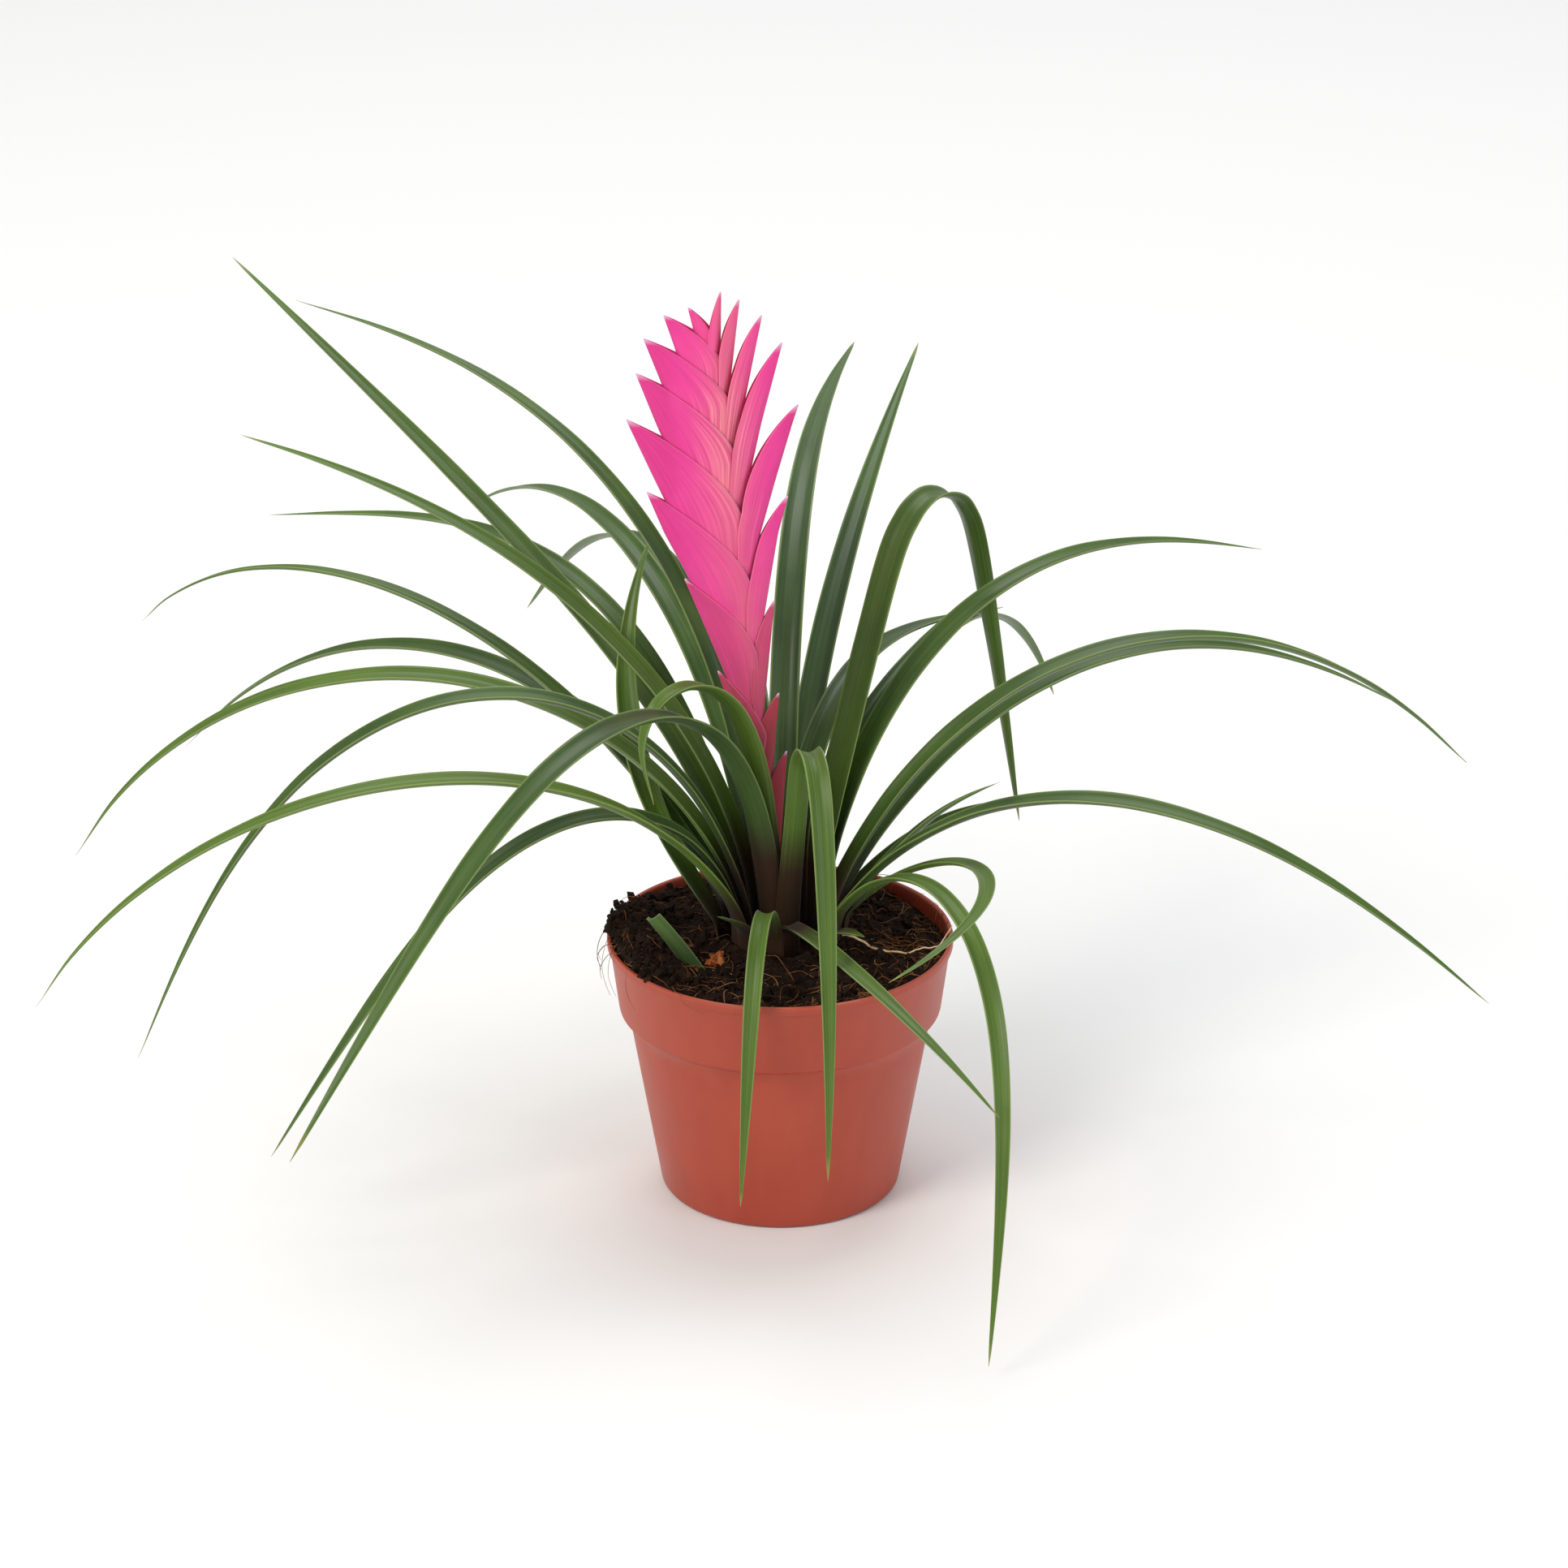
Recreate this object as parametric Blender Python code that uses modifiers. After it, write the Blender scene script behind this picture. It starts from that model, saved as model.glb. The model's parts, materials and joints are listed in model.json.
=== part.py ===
# Potted bromeliad: thin stepped nursery pot, soil, a rosette of channelled leaves and a flat flower spike.
# Metres, +Z up. Origin at the centre of the pot's underside, the plant's front towards -Y.
import math
import random

import bmesh
import bpy
from mathutils import Vector
from mathutils.bvhtree import BVHTree

MM = 0.001

# ---- pot ----
POT_HEIGHT = 70 * MM
RIM_RADIUS = 45 * MM
COLLAR_TOP_RADIUS = 44.5 * MM
COLLAR_LOW_RADIUS = 42 * MM
COLLAR_HEIGHT = 20 * MM
BODY_TOP_RADIUS = 38.9 * MM
BASE_RADIUS = 31 * MM
WALL = 0.8 * MM
LIP_HEIGHT = 2 * MM
COVE_HEIGHT = 5 * MM
GROOVE_INNER = 12 * MM
GROOVE_OUTER = 24 * MM
GROOVE_RISE = 1.5 * MM
DRAIN_HOLES = 8
DRAIN_RADIUS = 2.5 * MM
DRAIN_CIRCLE = 18 * MM
POT_STEPS = 40

# ---- soil ----
GAP = 0.3 * MM
SOIL_EDGE = 67 * MM
SOIL_TOP = 70.4 * MM
POCKET_RADIUS = 18 * MM
POCKET_FLOOR = 64 * MM
SOIL_LUMPS = 0.8 * MM

# ---- flower stem and spike ----
CROWN_HEIGHT = POCKET_FLOOR + GAP
STEM_LOW_RADIUS = 2.2 * MM
STEM_MID_RADIUS = 1.8 * MM
STEM_TOP_RADIUS = 1.0 * MM
SPIKE_BASE = 135 * MM
STEM_TOP = 224 * MM
LEAN = 16.5 * MM
LEAN_START = 70 * MM
LEAN_END = 210 * MM
BRACT_THICK = 0.28 * MM
BRACT_NEST = 0.5 * MM
BRACT_PITCH = 7.5 * MM
BRACT_BLUNT = 2.6
BRACT_LAP = 2.5
BRACT_SHIFT = 8.0

# ---- leaves ----
LEAF_THICK = 0.65 * MM
SHEATH_THICK = 0.4 * MM
SHEATH_FLARE = 1.2
SHEATH_PITCH = 0.8 * MM
INNER_SHEATH = 3.7 * MM
SHEATH_STRAIGHT = 5 * MM
SHEATH_TURN = 10 * MM
CHANNEL = 0.85
LEAF_ROWS = 13
LEAF_ACROSS = 4
CLEARANCE = 0.08 * MM

# One row per leaf: azimuth from the front towards +X, lean where it leaves the sheath, lean at the tip,
# where along it half the bending is done, how sudden the bend is, length in mm, width in mm, sideways
# sweep and roll. Angles in degrees, lean measured from straight up.
LEAVES = [
    (-62, 12, 150, 0.44, 0.9, 232, 8.0, -28, 0),
    (-96, 8, 150, 0.46, 1.0, 232, 8.5, 4, 10),
    (-112, 30, 140, 0.70, 1.0, 212, 7.0, 4, -10),
    (-140, 26, 104, 0.42, 2.0, 235, 7.5, 10, 0),
    (-118, 6, 78, 0.36, 1.2, 205, 7.0, 12, 15),
    (-128, 16, 62, 0.20, 1.6, 245, 8.5, -3, 0),
    (-138, 10, 86, 0.48, 1.6, 245, 7.0, 14, -10),
    (-40, 7, 195, 0.74, 2.5, 129, 10.0, -16, -10),
    (-86, 40, 30, 0.40, 1.5, 118, 7.5, -140, 0),
    (-44, 5, 133, 0.38, 2.2, 250, 9.5, -6, 0),
    (-74, 5, 141, 0.30, 2.1, 189, 7.5, 0, 10),
    (-84, 14, 156, 0.42, 1.7, 250, 8.0, 6, 0),
    (89, 22, 107, 0.32, 0.9, 135, 5.4, -149, 0),
    (55, 26, 172, 0.33, 1.4, 190, 5.6, -80, 0),
    (130, 16, 108, 0.46, 1.6, 205, 8.5, -4, 0),
    (157, 6, 104, 0.34, 2.2, 175, 8.0, -6, 10),
    (142, 20, 166, 0.52, 8.0, 240, 10.0, 4, 0),
    (150, 6, 77, 0.33, 1.4, 120, 7.0, -6, 0),
    (92, 36, 66, 0.70, 1.8, 66, 6.5, 0, 20),
    (108, 46, 92, 0.60, 1.5, 68, 5.5, 0, -10),
    (178, 10, 92, 0.40, 2.0, 240, 8.5, -8, 0),
    (168, 8, 68, 0.25, 1.4, 195, 8.0, -5, 0),
    (-8, 26, 156, 0.30, 3.0, 108, 5.0, 0, 0),
    (22, 12, 158, 0.40, 7.0, 183, 6.6, -26, 0),
    (8, 62, 122, 0.50, 1.0, 122, 5.6, 40, 0),
    (64, 30, 128, 0.42, 1.4, 210, 8.0, 12, 0),
    (104, 20, 136, 0.46, 1.3, 235, 8.5, 8, 10),
    (118, 34, 122, 0.50, 1.4, 205, 8.0, -10, 0),
    (198, 22, 132, 0.44, 1.5, 240, 8.5, 8, 0),
    (214, 12, 118, 0.46, 1.4, 225, 8.0, -8, 0),
    (236, 30, 138, 0.48, 1.2, 220, 8.0, 6, 10),
    (186, 34, 146, 0.50, 1.2, 190, 7.5, 0, 0),
    (152, 36, 140, 0.50, 1.3, 215, 8.0, 6, 0),
    (-34, 36, 60, 0.50, 1.5, 28, 6.0, 0, 0),
    (44, 46, 80, 0.50, 1.5, 26, 5.5, 0, 0),
]

# One row per bract from the stalk upwards: side it leans to, height of its foot, reach and height of its
# tip, in mm from the foot of the spike.
BRACTS = [
    (1, -44.0, 5.0, -14),
    (-1, -36.0, 5.4, -8),
    (1, -28.0, 6.4, 2),
    (-1, -20.0, 7.0, 8),
    (1, -12.5, 10.5, 27),
    (-1, -5.0, 11.0, 33),
    (1, 2.5, 17.5, 55),
    (-1, 10.0, 17.5, 56),
    (1, 17.5, 21.0, 79),
    (-1, 25.0, 21.5, 75),
    (1, 32.5, 17.0, 95),
    (-1, 40.0, 19.0, 87),
    (1, 47.5, 12.0, 102),
    (-1, 55.0, 17.0, 96),
    (1, 62.5, 6.5, 106),
    (-1, 70.0, 12.0, 102),
    (1, 77.5, 2.0, 108),
    (-1, 85.0, 6.0, 104),
]
BRACT_ROWS = 8
BRACT_COLUMNS = (0.0, 0.32, 0.62, 0.84, 1.0)

random.seed(11)

for old in list(bpy.data.objects):
    bpy.data.objects.remove(old, do_unlink=True)

parts = bpy.data.collections.new("potted_bromeliad")
bpy.context.scene.collection.children.link(parts)
cutters = bpy.data.collections.new("cutters")
bpy.context.scene.collection.children.link(cutters)


def smooth(x):
    x = min(max(x, 0.0), 1.0)
    return x * x * (3 - 2 * x)


def mix(a, b, t):
    return a + (b - a) * t


def material(name, colour, roughness):
    made = bpy.data.materials.new(name)
    made.use_nodes = True
    shader = made.node_tree.nodes["Principled BSDF"]
    shader.inputs["Base Color"].default_value = (*colour, 1.0)
    shader.inputs["Roughness"].default_value = roughness
    shader.inputs["Metallic"].default_value = 0.0
    made.diffuse_color = (*colour, 1.0)
    return made


def add_object(name, mesh, made):
    item = bpy.data.objects.new(name, mesh)
    item.data.materials.append(made)
    parts.objects.link(item)
    return item


def shade_round(item):
    for face in item.data.polygons:
        face.use_smooth = True


# ---- turned pieces: a profile in the XZ plane spun round the Z axis by a Screw modifier ----
def turned(name, profile, steps, made):
    mesh = bpy.data.meshes.new(name)
    points = [(r, 0.0, z) for r, z in profile]
    edges = [(i, i + 1) for i in range(len(points) - 1)]
    mesh.from_pydata(points, edges, [])
    item = add_object(name, mesh, made)
    spin = item.modifiers.new("spin", "SCREW")
    spin.axis = "Z"
    spin.steps = steps
    spin.render_steps = steps
    spin.use_merge_vertices = True
    spin.merge_threshold = 0.00001
    spin.use_smooth_shade = True
    return item


def applied(item):
    graph = bpy.context.evaluated_depsgraph_get()
    mesh = bpy.data.meshes.new_from_object(item.evaluated_get(graph))
    item.modifiers.clear()
    item.data = mesh


pot_clay = material("pot_plastic", (0.62, 0.13, 0.055), 0.42)
soil_dark = material("soil_peat", (0.035, 0.02, 0.013), 0.95)
stem_pink = material("stem_flesh", (0.60, 0.08, 0.14), 0.5)

collar_low = POT_HEIGHT - COLLAR_HEIGHT
body_top = collar_low - COVE_HEIGHT
lip_low = POT_HEIGHT - LIP_HEIGHT

# outer wall from the rim down, then the underside in to the axis, then the inside back up
pot_profile = [
    (RIM_RADIUS - 0.5 * MM, POT_HEIGHT),
    (RIM_RADIUS, POT_HEIGHT - 0.4 * MM),
    (RIM_RADIUS, lip_low),
    (COLLAR_TOP_RADIUS, lip_low - 0.4 * MM),
    (COLLAR_LOW_RADIUS + 0.1 * MM, collar_low + 0.6 * MM),
    (COLLAR_LOW_RADIUS - 0.5 * MM, collar_low),
    (BODY_TOP_RADIUS + 1.0 * MM, collar_low - 1.8 * MM),
    (BODY_TOP_RADIUS + 0.2 * MM, collar_low - 3.4 * MM),
    (BODY_TOP_RADIUS, body_top),
    (BASE_RADIUS + 0.6 * MM, 1.5 * MM),
    (BASE_RADIUS - 0.3 * MM, 0.0),
    (GROOVE_OUTER, 0.0),
    (GROOVE_OUTER - 0.8 * MM, GROOVE_RISE),
    (GROOVE_INNER + 0.8 * MM, GROOVE_RISE),
    (GROOVE_INNER, 0.0),
    (0.0, 0.0),
    (0.0, WALL),
    (GROOVE_INNER - 0.5 * MM, WALL),
    (GROOVE_INNER + 0.3 * MM, GROOVE_RISE + WALL),
    (GROOVE_OUTER - 0.3 * MM, GROOVE_RISE + WALL),
    (GROOVE_OUTER + 0.5 * MM, WALL),
    (BASE_RADIUS - WALL, WALL),
    (BASE_RADIUS + 0.6 * MM - WALL, 2.2 * MM),
    (BODY_TOP_RADIUS - WALL, body_top + 0.2 * MM),
    (BODY_TOP_RADIUS + 0.2 * MM - WALL, collar_low - 3.0 * MM),
    (BODY_TOP_RADIUS + 1.0 * MM - WALL, collar_low - 1.1 * MM),
    (COLLAR_LOW_RADIUS - 0.5 * MM - WALL, collar_low + 0.7 * MM),
    (COLLAR_TOP_RADIUS - WALL, lip_low),
    (RIM_RADIUS - 0.5 * MM - WALL, POT_HEIGHT),
    (RIM_RADIUS - 0.5 * MM, POT_HEIGHT),
]
pot = turned("pot", pot_profile, POT_STEPS, pot_clay)

for i in range(DRAIN_HOLES):
    angle = 2 * math.pi * (i + 0.5) / DRAIN_HOLES
    where = (DRAIN_CIRCLE * math.cos(angle), DRAIN_CIRCLE * math.sin(angle), GROOVE_RISE)
    bpy.ops.mesh.primitive_cylinder_add(vertices=12, radius=DRAIN_RADIUS, depth=6 * MM, location=where)
    drill = bpy.context.active_object
    drill.name = f"drain_{i + 1}"
    for home in list(drill.users_collection):
        home.objects.unlink(drill)
    cutters.objects.link(drill)
    drill.hide_render = True
    drill.display_type = "WIRE"
    hole = pot.modifiers.new(drill.name, "BOOLEAN")
    hole.operation = "DIFFERENCE"
    hole.solver = "EXACT"
    hole.object = drill

# the soil fills the pot 0.3 mm clear of it, with a pocket in the middle where the plant sits
soil_profile = [
    (0.0, POCKET_FLOOR),
    (POCKET_RADIUS - 0.5 * MM, POCKET_FLOOR),
    (POCKET_RADIUS, SOIL_TOP - 1.5 * MM),
    (POCKET_RADIUS + 2 * MM, SOIL_TOP),
    (24 * MM, SOIL_TOP + 0.2 * MM),
    (28 * MM, SOIL_TOP),
    (33 * MM, SOIL_TOP - 0.8 * MM),
    (38 * MM, SOIL_TOP - 1.9 * MM),
    (RIM_RADIUS - 1.7 * MM - GAP, SOIL_EDGE),
    (COLLAR_LOW_RADIUS - 0.6 * MM - WALL - GAP, collar_low + 1.0 * MM),
    (BODY_TOP_RADIUS + 0.9 * MM - WALL - GAP, collar_low - 0.8 * MM),
    (BODY_TOP_RADIUS - WALL - GAP, collar_low - 3.0 * MM),
    (BODY_TOP_RADIUS - 0.1 * MM - WALL - GAP, body_top),
    (BASE_RADIUS + 0.4 * MM - WALL - GAP, GROOVE_RISE + WALL + GAP),
    (0.0, GROOVE_RISE + WALL + GAP),
]
soil = turned("soil", soil_profile, POT_STEPS, soil_dark)
applied(soil)
for vertex in soil.data.vertices:
    reach = math.hypot(vertex.co.x, vertex.co.y)
    if vertex.co.z > SOIL_TOP - 3 * MM and POCKET_RADIUS + MM < reach < RIM_RADIUS - 4 * MM:
        vertex.co.z += random.uniform(-1.0, 1.0) * SOIL_LUMPS


# ---- flower stem: a tapered curve that leans to the left and straightens again ----
def lean_at(z):
    return -LEAN * smooth((z - LEAN_START) / (LEAN_END - LEAN_START))


def stem_radius(z):
    if z < SPIKE_BASE:
        return mix(STEM_LOW_RADIUS, STEM_MID_RADIUS, smooth((z - CROWN_HEIGHT) / (SPIKE_BASE - CROWN_HEIGHT)))
    return mix(STEM_MID_RADIUS, STEM_TOP_RADIUS, smooth((z - SPIKE_BASE) / (STEM_TOP - SPIKE_BASE)))


path = bpy.data.curves.new("flower_stem", "CURVE")
path.dimensions = "3D"
path.bevel_depth = 1 * MM
path.bevel_resolution = 1
path.use_fill_caps = True
line = path.splines.new("POLY")
stem_points = 12
line.points.add(stem_points - 1)
for i, point in enumerate(line.points):
    z = mix(CROWN_HEIGHT, STEM_TOP, i / (stem_points - 1))
    point.co = (lean_at(z), 0.0, z, 1.0)
    point.radius = stem_radius(z) / MM
stem = add_object("flower_stem", path, stem_pink)
line.use_smooth = True


# ---- shells: a grid of points given thickness both ways, closed round its edge ----
def shell(grid, thickness):
    rows = len(grid)
    across = len(grid[0])
    above = []
    below = []
    for i in range(rows):
        for j in range(across):
            along = grid[min(i + 1, rows - 1)][j] - grid[max(i - 1, 0)][j]
            side = grid[i][min(j + 1, across - 1)] - grid[i][max(j - 1, 0)]
            up = along.cross(side).normalized()
            half = thickness(i, j) / 2
            above.append(grid[i][j] + up * half)
            below.append(grid[i][j] - up * half)
    count = rows * across
    quads = []
    for i in range(rows - 1):
        for j in range(across - 1):
            a = i * across + j
            b = a + 1
            c = b + across
            d = a + across
            quads.append((a, b, c, d))
            quads.append((count + d, count + c, count + b, count + a))
    edge = [j for j in range(across)]
    edge += [i * across + across - 1 for i in range(1, rows)]
    edge += [(rows - 1) * across + j for j in range(across - 2, -1, -1)]
    edge += [i * across for i in range(rows - 2, 0, -1)]
    for k, a in enumerate(edge):
        b = edge[(k + 1) % len(edge)]
        quads.append((b, a, count + a, count + b))
    points = above + below
    faces = []
    for a, b, c, d in quads:
        # each four-sided face is split on its shorter diagonal, so the two walls never pass through each other
        if (points[a] - points[c]).length <= (points[b] - points[d]).length:
            faces += [(a, b, c), (a, c, d)]
        else:
            faces += [(a, b, d), (b, c, d)]
    return points, faces


def shell_object(name, points, faces, made):
    mesh = bpy.data.meshes.new(name)
    mesh.from_pydata(points, [], faces)
    work = bmesh.new()
    work.from_mesh(mesh)
    bmesh.ops.recalc_face_normals(work, faces=work.faces)
    work.to_mesh(mesh)
    work.free()
    item = add_object(name, mesh, made)
    shade_round(item)
    return item


# ---- bracts: folded at the keel on the outer edge, nested inside one another ----
def keel_at(bract, h):
    side, foot, reach, tip = bract
    start = stem_radius(SPIKE_BASE + foot * MM) / MM + 0.6
    u = min(max((h - foot) / (tip - foot), 0.0), 1.0)
    return mix(start, max(reach, start + 0.3), u)


def fold_at(index):
    # the line where the two rows of bracts meet lies to the right of the stalk in the middle of the spike
    return BRACT_SHIFT * smooth((index - 2) / 4) * smooth((len(BRACTS) - index) / 8)


def bract_grid(index):
    bract = BRACTS[index]
    side, foot, reach, tip = bract
    open_length = 12 + 0.84 * reach if side < 0 else 20 + 0.62 * reach
    apex = max(tip - open_length, foot + 4)
    grid = []
    for i in range(BRACT_ROWS + 1):
        u = i / BRACT_ROWS
        h = mix(foot, tip, 1 - (1 - u) ** 1.25)
        keel = keel_at(bract, h)
        outer = keel_at(BRACTS[index - 1], h) if index else keel * 2
        clasp = -min(3.5, 0.3 * outer)
        wrap = min(max(side * fold_at(index) - BRACT_LAP, -0.62 * outer), 0.45 * keel)
        wrap = mix(clasp, wrap, smooth((h - foot) / 12))
        open_part = max(0.0, (h - apex) / (tip - apex))
        margin = mix(wrap, keel - 0.25, open_part ** 1.45)
        half = stem_radius(SPIKE_BASE + foot * MM) / MM + 0.5
        half += BRACT_NEST / MM * (h - foot) * MM / BRACT_PITCH
        row = []
        columns = [(w, -1) for w in BRACT_COLUMNS] + [(w, 1) for w in reversed(BRACT_COLUMNS[:-1])]
        for w, face in columns:
            x = mix(margin, keel, w)
            # past the stalk the bract follows the inside of the one below it
            share = min(1.0, x / keel if x > 0 else -x / outer)
            y = half * (1 - share ** BRACT_BLUNT) ** (1 / BRACT_BLUNT)
            z = SPIKE_BASE + h * MM
            row.append(Vector((side * x * MM + lean_at(z), face * y * MM, z)))
        grid.append(row)
    return grid


def bract_thickness(i, j):
    return BRACT_THICK


spike_trees = []
for k in range(len(BRACTS)):
    low = k < 3
    tone = (0.55, 0.06, 0.10) if low else (0.86, 0.10 + 0.004 * k, 0.36 + 0.01 * k)
    pink = material(f"bract_skin_{k + 1:02d}", tone, 0.45)
    points, faces = shell(bract_grid(k), bract_thickness)
    shell_object(f"bract_{k + 1:02d}", points, faces, pink)
    spike_trees.append(BVHTree.FromPolygons(points, faces))


# ---- leaves ----
def leaf_width(along, length, width):
    sheath = smooth((along - 4 * MM) / (28 * MM))
    wide = mix(SHEATH_FLARE * width, width, sheath)
    t = along / length
    if t > 0.4:
        wide *= 1 - ((t - 0.4) / 0.6) ** 1.7 * 0.93
    return wide


def leaf_grid(leaf, sheath_radius):
    azimuth, rise, droop, knee, snap, length, width, sweep, roll = leaf
    length = length * MM
    width = width * MM
    steps = 240
    here = Vector((math.sin(math.radians(azimuth)), -math.cos(math.radians(azimuth)), 0.0)) * sheath_radius
    here.z = CROWN_HEIGHT
    trail = []
    turned_by = 0.0
    before = None
    for i in range(steps + 1):
        t = i / steps
        along = t * length
        inner = min(max(t, 0.0005), 0.9995)
        bend = 1 / (1 + ((knee * (1 - inner)) / ((1 - knee) * inner)) ** snap)
        free = mix(rise, droop, bend)
        lean = math.radians(mix(2.0, free, smooth((along - SHEATH_STRAIGHT) / SHEATH_TURN)))
        facing = math.radians(azimuth + sweep * t)
        out = Vector((math.sin(facing), -math.cos(facing), 0.0))
        ahead = out * math.sin(lean) + Vector((0, 0, 1)) * math.cos(lean)
        inward = Vector((0, 0, 1)) * math.sin(lean) - out * math.cos(lean)
        if before is not None:
            turned_by += before.angle(ahead)
        before = ahead.copy()
        trail.append((here.copy(), ahead, inward, along, turned_by))
        here = here + ahead * (length / steps)
    total = trail[-1][4]
    grid = []
    k = 0
    for row in range(LEAF_ROWS + 1):
        share = row / LEAF_ROWS
        while k < steps and 0.55 * trail[k][3] / length + 0.45 * trail[k][4] / total < share:
            k += 1
        spot, ahead, inward, along, bent = trail[k]
        wide = leaf_width(along, length, width)
        curl = min(SHEATH_FLARE * width / (2 * sheath_radius), 1.45)
        curl = mix(curl, CHANNEL, smooth((along - 4 * MM) / (26 * MM)))
        radius = wide / (2 * curl)
        twist = math.radians(roll * along / length)
        across = ahead.cross(inward)
        side = across * math.cos(twist) + inward * math.sin(twist)
        upper = inward * math.cos(twist) - across * math.sin(twist)
        line_points = []
        for j in range(LEAF_ACROSS + 1):
            a = curl * (2 * j / LEAF_ACROSS - 1)
            line_points.append(spot + side * radius * math.sin(a) + upper * radius * (1 - math.cos(a)))
        grid.append(line_points)
    return grid


def leaf_thickness(extra):
    def at(i, j):
        centre = 1 - abs(2 * j / LEAF_ACROSS - 1)
        middle = mix(SHEATH_THICK, LEAF_THICK, smooth(i / 5))
        taper = mix(1.0, 0.6, smooth((i - 6) / (LEAF_ROWS - 6)))
        return middle * mix(0.6, 1.0, centre) * taper + extra

    return at


def tree_of(item):
    graph = bpy.context.evaluated_depsgraph_get()
    shape = item.evaluated_get(graph)
    mesh = shape.to_mesh()
    points = [item.matrix_world @ v.co for v in mesh.vertices]
    faces = [tuple(p.vertices) for p in mesh.polygons]
    shape.to_mesh_clear()
    return BVHTree.FromPolygons(points, faces)


bpy.context.view_layer.update()
fixed_trees = spike_trees + [tree_of(pot), tree_of(soil), tree_of(stem)]


def lean_key(leaf):
    # how far the leaf has leaned by 40 mm along, so upright ones sit nearest the stem
    t = min(40.0 / leaf[5], 0.9)
    bend = 1 / (1 + ((leaf[3] * (1 - t)) / ((1 - leaf[3]) * t)) ** leaf[4])
    return mix(leaf[1], leaf[2], bend) * 0.5 + leaf[1] * 0.5


def apart(a, b):
    return abs((a - b + 180) % 360 - 180)


def sheath_half_angle(leaf, radius):
    return math.degrees(min(SHEATH_FLARE * leaf[6] * MM / (2 * radius), 1.45))


def sheath_radius_for(leaf, placed):
    radius = INNER_SHEATH
    for other, other_radius in placed:
        half_a = sheath_half_angle(leaf, max(radius, other_radius + SHEATH_PITCH))
        half_b = sheath_half_angle(other, other_radius)
        if apart(leaf[0], other[0]) < half_a + half_b + 2:
            radius = max(radius, other_radius + SHEATH_PITCH)
    return radius


def clear_of_all(grid, trees):
    points, faces = shell(grid, leaf_thickness(2 * CLEARANCE))
    if min(p.z for p in points) < 2.5 * MM:
        return False
    test = BVHTree.FromPolygons(points, faces)
    return not any(test.overlap(tree) for tree in trees)


# Each leaf is tried as listed and then turned, raised or rolled a little until it clears the ones before.
TURNS = (0, 3, -3, 6, -6, 9, -9, 12, -12)
LIFTS = (0, -3, 3, -6, 6, -9, 9, 12)
SWEEPS = (0, 8, -8, 16, -16)
STEPS_OUT = (0, 1, 2, 3)
placed = []
leaf_trees = []
leaf_shapes = []
order = sorted(range(len(LEAVES)), key=lambda n: lean_key(LEAVES[n]))
for n in order:
    choices = []
    for turn in TURNS:
        for lift in LIFTS:
            for sweep in SWEEPS:
                moved = abs(turn) + abs(lift) + abs(sweep) / 2
                choices += [(moved + 1.2 * out, turn, lift, sweep, out) for out in STEPS_OUT]
    choices.sort(key=lambda c: c[0])
    done = False
    for cost, turn, lift, sweep, out in choices:
        leaf = list(LEAVES[n])
        leaf[0] += turn
        leaf[7] += sweep
        leaf[1] = max(0, leaf[1] + lift)
        leaf[2] = leaf[2] + lift * 0.5
        radius = sheath_radius_for(leaf, placed) + out * SHEATH_PITCH / 2
        if radius > POCKET_RADIUS - MM:
            continue
        grid = leaf_grid(leaf, radius)
        if clear_of_all(grid, fixed_trees + leaf_trees):
            done = True
            break
    if not done:
        print("leaf", n + 1, "has no clear place")
        continue
    if cost:
        print("leaf", n + 1, "moved: turn", turn, "lift", lift, "sweep", sweep, "out", out)
    placed.append((leaf, radius))
    points, faces = shell(grid, leaf_thickness(0.0))
    leaf_trees.append(BVHTree.FromPolygons(points, faces))
    leaf_shapes.append((n, points, faces))

print("widest sheath radius, mm:", round(max(r for _, r in placed) / MM, 2))
for n, points, faces in sorted(leaf_shapes, key=lambda s: s[0]):
    shade = random.uniform(0.85, 1.15)
    green = material(f"leaf_skin_{n + 1:02d}", (0.085 * shade, 0.20 * shade, 0.035 * shade), 0.42)
    shell_object(f"leaf_{n + 1:02d}", points, faces, green)
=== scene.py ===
# %% [markdown]
# # A potted bromeliad with a flat pink flower spike
#
# The plant is a small epiphyte from a nursery: a rosette of long channelled leaves, one flat spike of
# overlapping pink bracts, a thin plastic pot and a dark peat mix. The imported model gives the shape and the
# place of every piece. This lesson gives each piece its finished surface: leaves and bracts are laid again
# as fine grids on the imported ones, the pot is raised ring by ring, and the soil is built from lumps, crumbs
# and fibres. Lengths are in metres, and MM turns millimetres into metres.

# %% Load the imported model
import json
import math
import random

import bpy
import numpy as np
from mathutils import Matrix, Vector, noise

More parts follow.
